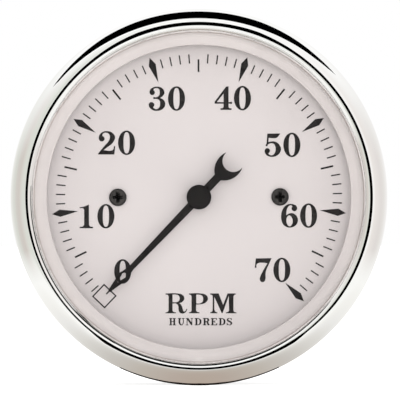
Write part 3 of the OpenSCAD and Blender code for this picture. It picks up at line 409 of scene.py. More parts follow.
c = 1
letterShapes = {
    "0": [mirrored((8.5, 12.2), [(0, 12.2), (2.4, 11.7), (4.6, 10.2), (6.6, 7.7), (7.95, 4.2), (8.5, 0)]),
          mirrored((8.5, 12.2), [(0, 10.6), (1.4, 10.0), (2.4, 7.9), (2.95, 4.6), (3.1, 0)])],
    "1": [[(0, 0, c), (13.3, 0, c), (13.3, 1.4, c), (10.6, 1.8), (9.3, 3.3, c), (9.2, 23.7, c), (7, 22.7),
           (3.6, 21.5), (0, 21.0, c), (0, 19.9, c), (3.5, 19.8), (4.5, 18.4, c), (4.5, 3.3, c), (3.1, 1.8),
           (0, 1.4, c)]],
    "2": [[(0.6, 17.1), (2.6, 21.2), (8.3, 23.4), (14.2, 21.6), (16.95, 17.1), (16.1, 14.2), (13.2, 10.2),
           (10.4, 8.2), (8, 6.4), (5.6, 4.3, c), (13.9, 4.14), (15.1, 5.3), (15.8, 8.45, c), (17.1, 8.2, c),
           (16.1, 0, c), (0, 0, c), (0, 1.0, c), (3.5, 5.3), (7.5, 9.9), (10.35, 13.3), (11.8, 17.3),
           (10.6, 20.6), (7.5, 21.8), (4.9, 20.9), (4.0, 18.7, c), (5.9, 17.3), (6.35, 15.3), (5.2, 13.6),
           (3.4, 13.05), (1.4, 14.0)]],
    "3": [[(0.95, 18.4), (1.3, 20.6), (3.8, 23.1), (8.0, 24.25), (13.3, 22.8), (15.8, 18.7), (14.6, 15.4),
           (11.6, 12.9, c), (14.9, 11.0), (16.65, 6.9), (14.4, 2.2), (7.75, 0), (2.4, 1.9), (0.1, 5.6),
           (0.8, 7.9), (3.0, 8.7), (5.2, 7.6), (5.7, 5.8), (5.0, 4.2), (4.5, 3.2, c), (7.5, 1.7), (10.6, 3.4),
           (11.4, 7.2), (10.7, 10.6), (8.2, 12.0, c), (6.2, 12.0), (5.2, 11.8), (4.6, 12.85), (5.2, 13.9),
           (6.4, 13.5), (9.2, 14.2), (10.8, 16.2), (11.1, 18.4), (10.4, 21.6), (7.5, 22.8), (5.2, 21.7),
           (4.9, 20.8, c), (6.2, 18.6), (5.3, 16.4), (3.5, 15.75), (1.7, 16.6)]],
    "4": [[(0.2, 6.2, c), (9.1, 6.2, c), (9.1, 3.0, c), (8.4, 1.9), (6.0, 1.5, c), (6.0, 0, c), (17.1, 0, c),
           (17.1, 1.5, c), (14.8, 1.9), (14.1, 3.0, c), (14.1, 6.2, c), (15.4, 6.2), (16.9, 5.9), (17.7, 6.95),
           (16.9, 8.1), (15.4, 7.75), (14.1, 7.75, c), (14.1, 23.5, c), (11.7, 23.3, c), (0.2, 8.1, c)],
          [(9.1, 16.3, c), (2.3, 7.75, c), (9.1, 7.75, c)]],
    "5": [[(2.7, 23.25, c), (15.6, 23.4, c), (14.2, 21.1), (12.2, 19.2), (8.8, 18.65), (4.15, 19.1, c),
           (3.8, 14.8, c), (7.3, 15.5), (10.2, 15.35), (13.1, 13.9), (15.1, 11.6), (16.45, 7.9), (15.6, 4.7),
           (13.6, 2.15), (10.8, 0.6), (7.3, 0), (3.9, 0.6), (1.3, 2.45), (0.1, 5.6), (0.9, 8.0), (2.8, 8.75),
           (4.9, 7.7), (5.4, 5.8), (4.6, 4.3), (3.7, 3.4, c), (4.9, 2.2), (7.3, 1.6), (9.4, 2.8), (10.6, 4.9),
           (11.05, 7.9), (10.6, 10.8), (9.4, 12.8), (7.3, 13.65), (4.9, 13.2), (3.2, 12.1), (2.9, 11.1),
           (2.0, 10.6), (1.1, 11.3), (1.4, 12.4), (2.0, 13.4, c)]],
    "6": [[(0.05, 11.2), (1.0, 16.9), (3.6, 21.1), (6.6, 23.2), (9.6, 23.7), (13.1, 23.0), (15.4, 21.3),
           (16.1, 19.2), (15.3, 17.3), (13.3, 16.4), (11.3, 17.3), (10.5, 19.2), (11.3, 21.3, c), (9.8, 22.4),
           (7.9, 21.6), (6.3, 19.5), (5.45, 16.4), (5.2, 12.4, c), (7.6, 13.9), (10.8, 14.5), (13.7, 13.4),
           (15.8, 11.2), (16.85, 7.5), (16.0, 4.2), (13.7, 1.6), (10.8, 0.3), (8.4, 0), (5.0, 0.85),
           (2.1, 3.2), (0.6, 6.6)],
          [(8.3, 12.2), (10.6, 10.3), (11.6, 7.0), (10.8, 3.0), (8.6, 1.3), (6.3, 3.1), (5.3, 7.0),
           (6.1, 10.6)]],
    "7": [[(1.15, 23.7, c), (16.9, 24.0, c), (13.9, 17.2), (11.6, 11.9), (10.9, 8.9), (10.75, 2.8), (9.8, 0.8),
           (7.9, 0), (6.0, 0.8), (5.15, 2.9), (5.7, 5.6), (7.6, 9.9), (12.6, 18.6, c), (12.3, 19.1, c),
           (3.9, 19.1), (2.2, 18.0), (1.7, 14.3, c), (0.1, 14.3, c)]],
    "8": [[(8, 24), (13.4, 22.3), (15, 18.3), (12.6, 14.0), (11.9, 13.0, c), (15.3, 10.4), (16.3, 6.2),
           (13.6, 1.6), (8.1, 0), (2.6, 1.6), (0, 6.0), (1.4, 9.9), (4.6, 12.4, c), (2.2, 14.8), (1.1, 18.1),
           (3.0, 22.4)],
          [(8.1, 22.5), (11.0, 21.0), (11.4, 18.3), (9.8, 14.8), (6.6, 17), (4.8, 19.5), (5.6, 21.6)],
          [(6.8, 11.4), (10.4, 8.9), (11.6, 5.4), (8.4, 1.5), (5.0, 3.2), (4.3, 6.6), (5.2, 9.6)]],
    "R": [[(0, 0, c), (10.5, 0, c), (10.5, 0.9, c), (8.0, 1.5), (7.0, 2.8, c), (7.0, 9.7, c), (9.4, 9.9),
           (11.3, 9.3), (12.7, 7.4), (13.0, 3.8), (14.2, 0.8), (17.0, -0.25), (20.0, 0.9), (21.7, 4.1, c),
           (21.0, 4.5, c), (19.8, 2.3), (18.3, 1.9), (17.2, 4.4), (16.0, 7.8), (13.9, 10.1, c), (17.0, 11.6),
           (18.8, 15.2), (16.9, 18.4), (12.0, 19.8), (0, 19.8, c), (0, 18.8, c), (2.2, 18.3), (3.05, 17.2, c),
           (3.05, 2.8, c), (2.2, 1.5), (0, 0.9, c)],
          [(7.0, 18.7, c), (10.8, 18.6), (13.4, 17.3), (14.1, 14.8), (13.2, 12.2), (10.9, 11.1),
           (7.0, 11.1, c)]],
    "P": [[(0, 0, c), (10.5, 0, c), (10.5, 0.9, c), (8.2, 1.5), (7.15, 2.8, c), (7.15, 8.7, c), (12.5, 9.1),
           (16.8, 10.8), (19.0, 14.6), (16.9, 18.4), (11.5, 19.8), (0, 19.8, c), (0, 18.8, c), (1.9, 18.2),
           (2.6, 17.0, c), (2.6, 2.8, c), (1.9, 1.5), (0, 0.9, c)],
          [(7.3, 18.6, c), (10.8, 18.5), (13.4, 17.2), (14.3, 14.3), (13.4, 11.3), (11.0, 9.9),
           (7.3, 9.8, c)]],
    "M": [[(0, 0, c), (7.1, 0, c), (7.1, 0.9, c), (5.2, 1.7), (4.15, 3.9, c), (4.15, 16.5, c), (11.6, 0.1, c),
           (12.4, 0.1, c), (18.6, 17.4, c), (18.9, 2.8, c), (17.9, 1.5), (15.8, 0.9, c), (15.8, 0, c),
           (26.3, 0, c), (26.3, 0.9, c), (24.2, 1.4), (23.3, 2.8, c), (23.3, 17.0, c), (24.2, 18.3),
           (25.6, 18.8, c), (25.6, 19.8, c), (17.4, 19.8, c), (13.0, 8.4, c), (8.5, 19.8, c), (0, 19.8, c),
           (0, 18.8, c), (2.0, 18.2), (2.6, 17.0, c), (2.55, 3.9, c), (1.9, 1.7), (0, 0.9, c)]],
    "h": [[(0, 0, c), (3, 0, c), (3, .7, c), (2.4, .8, c), (2.4, 3.3, c), (4.2, 3.3, c), (4.2, .8, c),
           (3.6, .7, c), (3.6, 0, c), (6.6, 0, c), (6.6, .7, c), (5.9, .8, c), (5.9, 6.4, c), (6.6, 6.5, c),
           (6.6, 7.2, c), (3.6, 7.2, c), (3.6, 6.5, c), (4.2, 6.4, c), (4.2, 4, c), (2.4, 4, c), (2.4, 6.4, c),
           (3, 6.5, c), (3, 7.2, c), (0, 7.2, c), (0, 6.5, c), (.7, 6.4, c), (.7, .8, c), (0, .7, c)]],
    "u": [[(0, 7.2, c), (3.2, 7.2, c), (3.2, 6.5, c), (2.5, 6.4, c), (2.5, 2.4), (3.7, .8), (4.9, 2.4),
           (4.9, 6.4, c), (4.1, 6.5, c), (4.1, 7.2, c), (6.6, 7.2, c), (6.6, 6.5, c), (5.7, 6.4, c), (5.7, 2.2),
           (3.3, -.1), (.8, 2.2), (.8, 6.4, c), (0, 6.5, c)]],
    "n": [[(0, 0, c), (2.5, 0, c), (2.5, .6, c), (1.6, .7, c), (1.6, 5.2, c), (5.5, 0, c), (6.4, 0, c),
           (6.4, 6.5, c), (7.2, 6.6, c), (7.2, 7.2, c), (4.8, 7.2, c), (4.8, 6.6, c), (5.7, 6.5, c),
           (5.7, 2.8, c), (2.6, 7.2, c), (0, 7.2, c), (0, 6.6, c), (.9, 6.5, c), (.9, .7, c),
           (0, .6, c)]],
    "d": [[(0, 0, c), (3.4, 0, c), (5.9, 1.2), (6.7, 3.6), (5.9, 6.0), (3.4, 7.2, c), (0, 7.2, c), (0, 6.5, c),
           (.8, 6.4, c), (.8, .8, c), (0, .7, c)],
          [(2.6, 6.5, c), (3.8, 6.2), (4.7, 5), (4.9, 3.6), (4.7, 2.2), (3.8, 1), (2.6, .7, c)]],
    "r": [[(0, 0, c), (3.3, 0, c), (3.3, .7, c), (2.6, .8, c), (2.6, 3.2, c), (3.5, 3.0), (4.1, 1.4),
           (5.3, -.1), (6.8, .5, c), (6.6, .9, c), (6.0, 1.3), (5.6, 2.7), (4.8, 3.5, c), (6.0, 4.2),
           (6.3, 5.4), (5.6, 6.8), (3.8, 7.2), (0, 7.2, c), (0, 6.5, c), (.8, 6.4, c), (.8, .8, c),
           (0, .7, c)],
          [(2.6, 6.5, c), (3.5, 6.4), (4.2, 5.9), (4.35, 5.1), (3.9, 4.2), (2.6, 3.9, c)]],
    "e": [[(0, 0, c), (6.2, 0, c), (6.4, 2.2, c), (5.9, 2.2, c), (4.9, .7, c), (2.6, .7, c), (2.6, 3.3, c),
           (3.5, 3.2, c), (3.9, 2.3, c), (4.3, 2.3, c), (4.3, 5, c), (3.9, 5, c), (3.5, 4, c), (2.6, 3.9, c),
           (2.6, 6.5, c), (4.8, 6.5, c), (5.6, 5.2, c), (6.1, 5.2, c), (6, 7.2, c), (0, 7.2, c), (0, 6.5, c),
           (.8, 6.4, c), (.8, .8, c), (0, .7, c)]],
    "s": [[(.1, 0, c), (.5, 0, c), (1, .4), (2.9, -.1), (5, .8), (5.5, 2.3), (4.6, 3.8), (2.7, 4.8),
           (1.7, 5.7), (2.6, 6.7), (4, 6.2), (4.7, 5, c), (5.1, 5, c), (5, 7.2, c), (4.6, 7.2, c), (4.2, 6.9),
           (2.6, 7.3), (.7, 6.6), (.1, 5.2), (1, 3.8), (3, 2.9), (3.9, 1.7), (2.9, .6), (1.4, 1.2),
           (.5, 2.6, c), (.1, 2.6, c)]],
}
lettering = {
    "pixelMm": 0.22832, "centre": (198.6, 196.9), "dialZ": -2.5, "inkMm": 0.05, "curveSteps": 5,
    "set": [("0", 113.9, 283.4), ("1", 79.4, 228.0), ("0", 97.1, 228.2), ("2", 97.9, 154.3),
            ("0", 117.8, 154.8), ("3", 148.3, 110.7), ("0", 167.7, 110.6), ("4", 214.1, 109.7),
            ("0", 233.6, 110.2), ("5", 264.2, 156.7), ("0", 283.0, 156.9), ("6", 280.7, 227.4),
            ("0", 299.7, 227.6), ("7", 254.3, 281.9), ("0", 273.0, 281.9),
            ("R", 165.2, 313.0), ("P", 188.6, 313.0), ("M", 209.8, 313.0),
            ("h", 168.9, 325.0), ("u", 177.6, 325.0), ("n", 185.5, 325.0), ("d", 194.4, 325.0),
            ("r", 202.6, 325.0), ("e", 210.5, 325.0), ("d", 218.4, 325.0), ("s", 226.3, 325.0)]}


def printedMesh(name, letters, toBench, thickness):
    # letters fill as flat curves, so that the holes open, and are given the ink's thickness
    outline = bpy.data.curves.new(name, "CURVE")
    outline.dimensions, outline.fill_mode, outline.resolution_u = "2D", "BOTH", lettering["curveSteps"]
    outline.extrude = thickness / 2 / 1000
    for letter, left, base in letters:
        for loop in letterShapes[letter]:
            spline = outline.splines.new("BEZIER")
            spline.bezier_points.add(len(loop) - 1)
            spline.use_cyclic_u = True
            for knot, point in zip(spline.bezier_points, loop):
                x, y = toBench(left + point[0], base - point[1])
                knot.co = (x / 1000, y / 1000, 0)
                knot.handle_left_type = knot.handle_right_type = "VECTOR" if len(point) == 3 else "AUTO"
    drawn = bpy.data.objects.new(name, outline)
    scene.collection.objects.link(drawn)
    mesh = bpy.data.meshes.new_from_object(drawn.evaluated_get(bpy.context.evaluated_depsgraph_get()))
    bpy.data.objects.remove(drawn)
    mesh.name = name
    work = bmesh.new()
    work.from_mesh(mesh)
    bmesh.ops.remove_doubles(work, verts=work.verts, dist=weldReach)
    bmesh.ops.recalc_face_normals(work, faces=work.faces)
    work.to_mesh(mesh)
    work.free()
    return mesh


def standUp(mesh, depth):
    # from lying flat to upright, this many millimetres behind the panel's front
    for vertex in mesh.vertices:
        x, y, z = vertex.co
        vertex.co = (x, depth / 1000 - z, y)


def onDial(px, py):
    right, up = px - lettering["centre"][0], lettering["centre"][1] - py
    lean = math.radians(view["roll"])
    return ((right + up * lean) * lettering["pixelMm"], (up - right * lean) * lettering["pixelMm"])


printed = printedMesh("dialLettering", lettering["set"], onDial, lettering["inkMm"])
standUp(printed, -lettering["dialZ"] - lettering["inkMm"] / 2)
fitPiece("dial_lettering", printed, "gauge", "scale_ink")
print(f"{len(lettering['set'])} letters printed")


# The cylinder numbers at the selector, read from behind
numbers = {"unitMm": 0.085, "above": 27.6, "caseBack": -36.0, "inkMm": 0.04,
           "set": [("4", -37, 0), ("6", -8.5, 0), ("8", 20, 0)]}


def onCaseBack(px, py):
    return -px * numbers["unitMm"], numbers["above"] - py * numbers["unitMm"]


printed = printedMesh("selectorNumbers", numbers["set"], onCaseBack, numbers["inkMm"])
standUp(printed, numbers["inkMm"] / 2 - numbers["caseBack"])
fitPiece("selector_numbers", printed, "gauge", "dial_paint")
print("selector numbered")


# Pan-head screws with a tapered crossed recess
panHead = {"at": [(-18.5, 0), (18.5, 0)], "base": -2.5, "radius": 2.0, "top": 1.2, "domeRadius": 4.25,
           "shoulder": 1.5, "side": 0.35, "wing": 1.18, "slot": 0.42, "deep": -0.3, "shank": 1.2, "long": 5.0,
           "tip": 0.3, "rimTurns": (25, 45, 65, 90),
           "brow": (0.96, 0.08),  # share of the recess's reach, depth below the dome
           "wall": [(0.35, 0.2), (0.86, 0.6)]}  # the recess's wall: share of its reach, height


def panHeadSection(turn):
    aside = abs((turn + math.pi / 4) % (math.pi / 2) - math.pi / 4)  # angle from the nearest wing
    edge = min(panHead["wing"] / math.cos(aside), panHead["slot"] / max(math.sin(aside), 1e-6))

    def dome(radius):
        return panHead["top"] - panHead["domeRadius"] + math.sqrt(panHead["domeRadius"] ** 2 - radius ** 2)
    shoulder, side, radius = panHead["shoulder"], panHead["side"], panHead["radius"]
    shank, tip, long = panHead["shank"], panHead["tip"], panHead["long"]
    rise = dome(shoulder) - side
    brow, below = panHead["brow"]
    profile = [(0, panHead["deep"])] + [(edge * share, height) for share, height in panHead["wall"]]
    profile += [(edge * brow, dome(edge) - below), (edge, dome(edge))]
    profile += [(r, dome(r)) for r in (edge + (shoulder - edge) * k / 3 for k in (1, 2, 3))]
    profile += [(shoulder + (radius - shoulder) * math.sin(t), side + rise * math.cos(t)) for t in (
        math.radians(d) for d in panHead["rimTurns"])]
    profile += [(radius, 0), (shank, 0), (shank, tip - long), (shank - tip, -long), (0, -long)]
    return [(r, panHead["base"] + z) for r, z in profile]


octant = [0, 9.4, 18.73, 22.5, 28, 35, 45]  # closer steps where a wing's corner comes
quarterTurns = octant + [90 - d for d in octant[-2:0:-1]]
headTurns = [math.radians(quarter + d) for quarter in (0, 90, 180, 270) for d in quarterTurns]
points, faces = [], []
for place in panHead["at"]:
    addTurned(points, faces, panHeadSection, headTurns, place)
fitPiece("panhead_screws", meshFrom("panheadScrews", points, faces), "gauge", "screw_black", ["dial_screws"])
print("dial screws cut")


# Rolled threads on the studs: a groove over half the pitch, its root just flattened
def addThread(points, faces, rod, at):
    around, perTurn, rootSlope = 28, 8, 1.25
    rows = round((rod["top"] - rod["end"]) / rod["pitch"] * perTurn)
    start = len(points)
    for row in range(rows + 1):
        height = rod["end"] + (rod["top"] - rod["end"]) * row / rows
        runout = min(1, (rod["top"] - height) / rod["pitch"])
        tipCut = max(0, rod["chamfer"] - (height - rod["end"]))
        for step in range(around):
            phase = (height / rod["pitch"] - step / around) % 1
            cut = rod["depth"] * runout * min(1, max(0, rootSlope * (1 - abs(4 * phase - 2))))
            radius = min(rod["radius"] - cut, rod["radius"] - tipCut)
            turn = 2 * math.pi * step / around
            points.append(bench(at[0] + radius * math.cos(turn), at[1] + radius * math.sin(turn), height))
    for row in range(rows):
        for step in range(around):
            a, b = start + row * around + step, start + row * around + (step + 1) % around
            faces.append((a, b, b + around, a + around))
    faces.append(tuple(start + step for step in range(around)))
    faces.append(tuple(start + rows * around + step for step in range(around)))


def hexSection(flats, low, high, bore, chamfer=0.12, coneSlope=0.58):
    # a hexagon's section at an angle, its corners cut back by the usual cone
    def at(turn):
        corner = flats / 2 / math.cos((turn + math.pi / 6) % (math.pi / 3) - math.pi / 6)
        drop = max(0, corner - flats / 2 + chamfer) * coneSlope
        face = min(corner, flats / 2 - chamfer)
        return [(bore, low), (face, low), (corner, low + drop),
                (corner, high - drop), (face, high), (bore, high)]
    return at


studs = {"at": [(-18.5, 0), (18.5, 0)], "spigot": 1.45, "spigotTop": -23.4, "spigotEdge": 0.3, "core": 0.4,
         "collarAf": 8.0, "boardBack": -30.0, "inside": -34.8, "hexSteps": 72, "roundSteps": 36,
         "rod": {"radius": 2.4, "pitch": 0.794, "depth": 0.44, "end": -58.0, "top": -34.8, "chamfer": 0.5}}


def spigotSection(turn):
    core, radius, edge, top = (studs[key] for key in ("core", "spigot", "spigotEdge", "spigotTop"))
    low = studs["boardBack"]
    return [(core, low), (radius, low), (radius, top - edge), (radius - edge, top), (core, top)]


collarSection = hexSection(studs["collarAf"], studs["inside"], studs["boardBack"], studs["core"])
points, faces = [], []
for place in studs["at"]:
    addThread(points, faces, studs["rod"], place)
    addTurned(points, faces, collarSection, studs["hexSteps"], place)
    addTurned(points, faces, spigotSection, studs["roundSteps"], place)
fitPiece("threaded_studs", meshFrom("threadedStuds", points, faces), "gauge", "zinc_steel",
         ["mounting_studs"])

terminals = {"at": [(-13.07, -20.13), (0, -24.0), (13.07, -20.13)], "head": 3.4, "headT": 1.2, "core": 0.3,
             "edge": (0.3, 0.35), "board": -28.4, "steps": 40,
             "rod": {"radius": 1.95, "pitch": 0.7, "depth": 0.38, "end": -48.0, "top": -28.0, "chamfer": 0.4}}


def terminalHeadSection(turn):
    core, radius, low = terminals["core"], terminals["head"], terminals["board"]
    high, (inwards, down) = low + terminals["headT"], terminals["edge"]
    return [(core, low), (radius, low), (radius, high - down), (radius - inwards, high), (core, high)]


points, faces = [], []
for place in terminals["at"]:
    addThread(points, faces, terminals["rod"], place)
    addTurned(points, faces, terminalHeadSection, terminals["steps"], place)
fitPiece("threaded_terminals", meshFrom("threadedTerminals", points, faces), "gauge", "turned_brass",
         ["terminal_studs"])
print("threads rolled")


# Stage: a pale floor that keeps the shadow, a white surround, and the shapes that the chrome reflects.
# Its places are in the frame's metres, and a clock angle runs from the top, as the photograph sees it.
# Among the reflected shapes are a painted shadow on a sheet and a painted shade behind the gauge.
stage = {"paper": "#F1F0EE", "fibreScale": 900.0, "fibreRelief": 0.00002, "seenLift": 0.76, "bounce": 0.35,
         "floorHalf": 6, "layer": 0.00001, "ambient": 1.03, "ambientLean": (0.1, 0, -0.3),
         "whiteFrom": 0.2, "whiteFull": 0.7}


def studioPaper(name):
    # matt paper: takes the shadow, is lifted just enough that what is unshaded reads as white, and is
    # lit a little from beneath, as a light table is
    material, tree = emptyMaterial(name)
    place = addNode(tree, "ShaderNodeTexCoord").outputs["Object"]
    fibre = addNode(tree, "ShaderNodeTexNoise", {"Scale": stage["fibreScale"], "Detail": 2.0},
                    {"Vector": place})
    relief = addNode(tree, "ShaderNodeBump", {"Distance": stage["fibreRelief"]},
                     {"Height": fibre.outputs["Fac"]})
    paper = addNode(tree, "ShaderNodeBsdfDiffuse", {"Color": linear(stage["paper"])},
                    {"Normal": relief.outputs["Normal"]})
    ray = addNode(tree, "ShaderNodeLightPath")
    level = addNode(tree, "ShaderNodeMapRange", {"To Min": stage["bounce"], "To Max": stage["seenLift"]},
                    {"Value": ray.outputs["Is Camera Ray"]})
    glow = addNode(tree, "ShaderNodeEmission", links={"Strength": level.outputs["Result"]})
    both = addNode(tree, "ShaderNodeAddShader", links={0: paper.outputs["BSDF"], 1: glow.outputs["Emission"]})
    addNode(tree, "ShaderNodeOutputMaterial", links={"Surface": both.outputs["Shader"]})
    return material


def onlyMirrored(tree, shine, fade=None):
    # shown where the camera sees it in a mirror, and clear to light on its way to a matt surface
    clear = addNode(tree, "ShaderNodeBsdfTransparent")
    ray = addNode(tree, "ShaderNodeLightPath")
    off = addNode(tree, "ShaderNodeMath", {"operation": "MAXIMUM", 1: 0.0}, {0: ray.outputs["Diffuse Depth"]})
    if fade:
        tree.links.new(fade, off.inputs[1])
    both = addNode(tree, "ShaderNodeMixShader", links={
        0: off.outputs["Value"], 1: shine, 2: clear.outputs["BSDF"]})
    addNode(tree, "ShaderNodeOutputMaterial", links={"Surface": both.outputs["Shader"]})


def mirrorOnlyTone(name, tone):
    material, tree = emptyMaterial(name)
    cloth = addNode(tree, "ShaderNodeEmission", {"Color": linear(tone), "Strength": 1.0})
    onlyMirrored(tree, cloth.outputs["Emission"])
    return material


def stagePiece(name, corners, material, faces=()):
    mesh = bpy.data.meshes.new(name)
    mesh.from_pydata([Vector(corner) for corner in corners], [], list(faces) or [tuple(range(len(corners)))])
    piece = bpy.data.objects.new(name, mesh)
    scene.collection.objects.link(piece)
    mesh.materials.append(material)
    return piece


def flatSheet(half, front, back, height):
    return [(-half, front, height), (half, front, height), (half, back, height), (-half, back, height)]


def clockPoint(clock, radius, y):
    turn = math.radians(clock)
    return Vector((radius * math.sin(turn), y, radius * math.cos(turn)))


floorAt = cadBox[0].z - 2 * stage["layer"]
floorHalf = stage["floorHalf"]
floor = stagePiece("studio_floor", flatSheet(floorHalf, -floorHalf, floorHalf, floorAt),
                   studioPaper("studioFloor"))
# the chrome sees the sheet that the gauge stands on, with its painted shadow, and the panes see only the white
# beyond
floor.visible_glossy = floor.visible_transmission = False

# The sheet's painted shadow goes by its distance from where the gauge stands, as a share of its reach
sheetUnder = {"half": 0.14, "fadeFrom": 0.08, "front": -0.18, "back": 0.5, "middle": (0, -0.007),
              "reach": 0.12,
              "tones": [(0.0, "#B6A89C"), (0.05, "#B7AAA0"), (0.12, "#BEB6AD"), (0.2, "#CAC6C1"),
                        (0.3, "#E0DEDA"), (0.38, "#EDECEA"), (0.5, "#F6F5F2"), (0.7, "#FCFCFA")]}


def paintedShadowUnderGauge(name):
    # only the chrome sees it: a painted shadow glowing taupe near where the gauge stands, white further out
    material, tree = emptyMaterial(name)
    place = addNode(tree, "ShaderNodeTexCoord").outputs["Object"]
    away = addNode(tree, "ShaderNodeVectorMath",
                   {"operation": "DISTANCE", 1: (*sheetUnder["middle"], floorAt)}, {0: place})
    share = addNode(tree, "ShaderNodeMath", {"operation": "DIVIDE", 1: sheetUnder["reach"]},
                    {0: away.outputs["Value"]})
    glow = addNode(tree, "ShaderNodeEmission", {"Strength": 1.0},
                   {"Color": toneRamp(tree, sheetUnder["tones"], share.outputs["Value"])})
    parts = addNode(tree, "ShaderNodeSeparateXYZ", links={"Vector": place})
    aside = addNode(tree, "ShaderNodeMath", {"operation": "ABSOLUTE"}, {0: parts.outputs["X"]})
    fade = addNode(tree, "ShaderNodeMapRange",
                   {"From Min": sheetUnder["fadeFrom"], "From Max": sheetUnder["half"]},
                   {"Value": aside.outputs["Value"]})
    onlyMirrored(tree, glow.outputs["Emission"], fade.outputs["Result"])
    return material


sheetCorners = flatSheet(sheetUnder["half"], sheetUnder["front"], sheetUnder["back"], floorAt + stage["layer"])
whiteSheet = stagePiece("white_sheet", sheetCorners, paintedShadowUnderGauge("whiteSheet"))
whiteSheet.visible_camera = whiteSheet.visible_diffuse = whiteSheet.visible_shadow = False
whiteSheet.visible_transmission = False

cloth = mirrorOnlyTone("blackFlagCloth", "#000000")
# a card before the lens, with a post at its top and its foot cut away: its reach by clock angle
lensFlag = {"y": -0.83, "lift": -0.001, "reach": [
    (0, 0.38), (20, 0.4), (28, 0.31), (40, 0.25), (60, 0.24), (80, 0.235), (100, 0.235), (120, 0.2),
    (140, 0.165), (160, 0.08), (180, 0.05), (200, 0.065), (220, 0.1), (240, 0.125), (260, 0.19), (280, 0.21),
    (300, 0.21), (320, 0.24), (330, 0.32), (340, 0.4), (350, 0.39)]}
# a bib under the crest, hollowed to its curve
lowFlag = {"radius": 0.0391, "y": -0.06, "clocks": range(224, 135, -4), "half": 0.028, "foot": -0.043}
# painted shade, a dark patch on the sheet behind the gauge: its front edge, left to right, and how far back it
# goes
rearShade = {"tone": "#1C1715", "back": 0.06,
             "edge": [(-0.02, -0.0013), (-0.015, -0.004), (-0.01, -0.0056), (-0.005, -0.0066), (0, -0.0069),
                      (0.005, -0.0066), (0.01, -0.0056), (0.015, -0.004), (0.02, -0.0013)]}
# a black collar before the crest's right shoulder, which only the roll across the dial can see: the place
# of each edge and its change for each degree past taperFrom
collarFlag = {"radius": 0.0393, "clocks": range(30, 95, 4), "taperFrom": 74,
              "edges": [(-0.02, -0.0002), (-0.06, 0.001)]}
# a boat-shaped card overhead
overheadFlag = {"z": 0.25, "edge": [
    (-0.31, -0.097), (-0.3, -0.12), (-0.21, -0.149), (-0.145, -0.174), (-0.09, -0.189), (0, -0.192),
    (0.09, -0.2), (0.145, -0.18), (0.21, -0.153), (0.25, -0.1), (0.283, -0.03), (0.25, -0.018), (0.21, -0.007),
    (0.145, 0.042), (0.09, 0.076), (0, 0.073), (-0.09, 0.094), (-0.145, 0.083), (-0.21, 0.024), (-0.3, -0.037),
    (-0.33, -0.064)]}

collarCorners = []
for clock in collarFlag["clocks"]:
    past = max(0, clock - collarFlag["taperFrom"])
    for place, change in collarFlag["edges"]:
        collarCorners.append(clockPoint(clock, collarFlag["radius"], place + past * change))
shadeCorners = rearShade["edge"] + [(side * rearShade["edge"][-1][0], rearShade["back"]) for side in (1, -1)]
flags = [
    stagePiece("lens_flag", [clockPoint(clock, reach, lensFlag["y"]) + Vector((0, 0, lensFlag["lift"]))
                             for clock, reach in lensFlag["reach"]], cloth),
    stagePiece("low_flag", [clockPoint(clock, lowFlag["radius"], lowFlag["y"]) for clock in lowFlag["clocks"]]
               + [(side * lowFlag["half"], lowFlag["y"], lowFlag["foot"]) for side in (1, -1)], cloth),
    # painted shade: a dark patch where the gauge's own shade falls, seen only in the chrome
    stagePiece("rear_shade", [(x, y, floorAt + 2 * stage["layer"]) for x, y in shadeCorners],
               mirrorOnlyTone("shadeBehind", rearShade["tone"])),
    stagePiece("collar_flag", collarCorners, cloth, [
        (k, k + 1, k + 3, k + 2) for k in range(0, len(collarCorners) - 2, 2)]),
    stagePiece("overhead_flag", [(x, y, overheadFlag["z"]) for x, y in overheadFlag["edge"]], cloth)]
for flag in flags:
    flag.visible_camera = flag.visible_diffuse = flag.visible_shadow = False

world = bpy.data.worlds.new("whiteStudio")
world.use_nodes = True
scene.world = world
tree = world.node_tree
tree.nodes.clear()
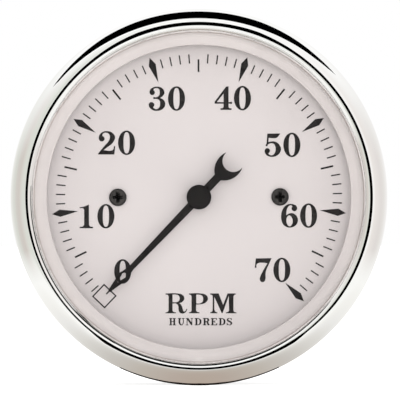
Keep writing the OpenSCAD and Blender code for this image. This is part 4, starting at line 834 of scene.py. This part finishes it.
# the walls' tones by bearing: the camera is at 0.25, the left at 0 and the right at 0.5
wallTones = [(0.0, "#D7D4CE"), (0.045, "#D3CEC9"), (0.09, "#D3CCC6"), (0.13, "#DAD7D1"), (0.17, "#DDDFD8"),
             (0.21, "#DDDFD8"), (0.24, "#FFFFFF"), (0.295, "#FDFBFA"), (0.34, "#ECE7E4"), (0.46, "#E3DEDC"),
             (0.51, "#E5E1DE"), (0.75, "#FDFDFD"), (0.84, "#F0F0ED"), (0.97, "#D9DAD4")]
direction = addNode(tree, "ShaderNodeTexCoord").outputs["Generated"]
bearing = addNode(tree, "ShaderNodeTexGradient", {"gradient_type": "RADIAL"}, {"Vector": direction})
walls = toneRamp(tree, wallTones, bearing.outputs["Fac"])
ray = addNode(tree, "ShaderNodeLightPath")
lean = addNode(tree, "ShaderNodeVectorMath", {"operation": "DOT_PRODUCT", 1: stage["ambientLean"]},
               {0: direction})
level = addNode(tree, "ShaderNodeMath", {"operation": "ADD", 1: stage["ambient"]}, {0: lean.outputs["Value"]})
ambient = addNode(tree, "ShaderNodeBackground", {"Color": (1, 1, 1, 1)}, {"Strength": level.outputs["Value"]})
height = addNode(tree, "ShaderNodeSeparateXYZ", links={"Vector": direction})
upwards = addNode(tree, "ShaderNodeMapRange", {"From Min": stage["whiteFrom"], "From Max": stage["whiteFull"]},
                  {"Value": height.outputs["Z"]})
skyward = addNode(tree, "ShaderNodeMix", {"data_type": "RGBA", 7: linear("#FFFFFF")},
                  {0: upwards.outputs["Result"], 6: walls})
wall = addNode(tree, "ShaderNodeBackground", {"Strength": 1.0}, {"Color": skyward.outputs[2]})
white = addNode(tree, "ShaderNodeBackground", {"Color": (1, 1, 1, 1), "Strength": 1.0})
seen = addNode(tree, "ShaderNodeMath", {"operation": "MAXIMUM"},
               {0: ray.outputs["Is Camera Ray"], 1: ray.outputs["Is Transmission Ray"]})
shine = addNode(tree, "ShaderNodeMixShader", links={
    0: ray.outputs["Is Glossy Ray"], 1: ambient.outputs["Background"], 2: wall.outputs["Background"]})
whole = addNode(tree, "ShaderNodeMixShader", links={
    0: seen.outputs["Value"], 1: shine.outputs["Shader"], 2: white.outputs["Background"]})
addNode(tree, "ShaderNodeOutputWorld", links={"Surface": whole.outputs["Shader"]})

lamp = {"at": (0.12, -1.2, 0.1), "size": 0.6, "watts": 3.2}
light = bpy.data.lights.new("frontLamp", "AREA")
light.shape, light.size, light.energy = "DISK", lamp["size"], lamp["watts"]
holder = bpy.data.objects.new("frontLamp", light)
holder.location = lamp["at"]
holder.rotation_euler = (-Vector(lamp["at"])).to_track_quat("-Z", "Y").to_euler()
holder.visible_glossy = False  # the white walls give the highlights
scene.collection.objects.link(holder)
scene.view_settings.view_transform = "Standard"
print("stage lit")
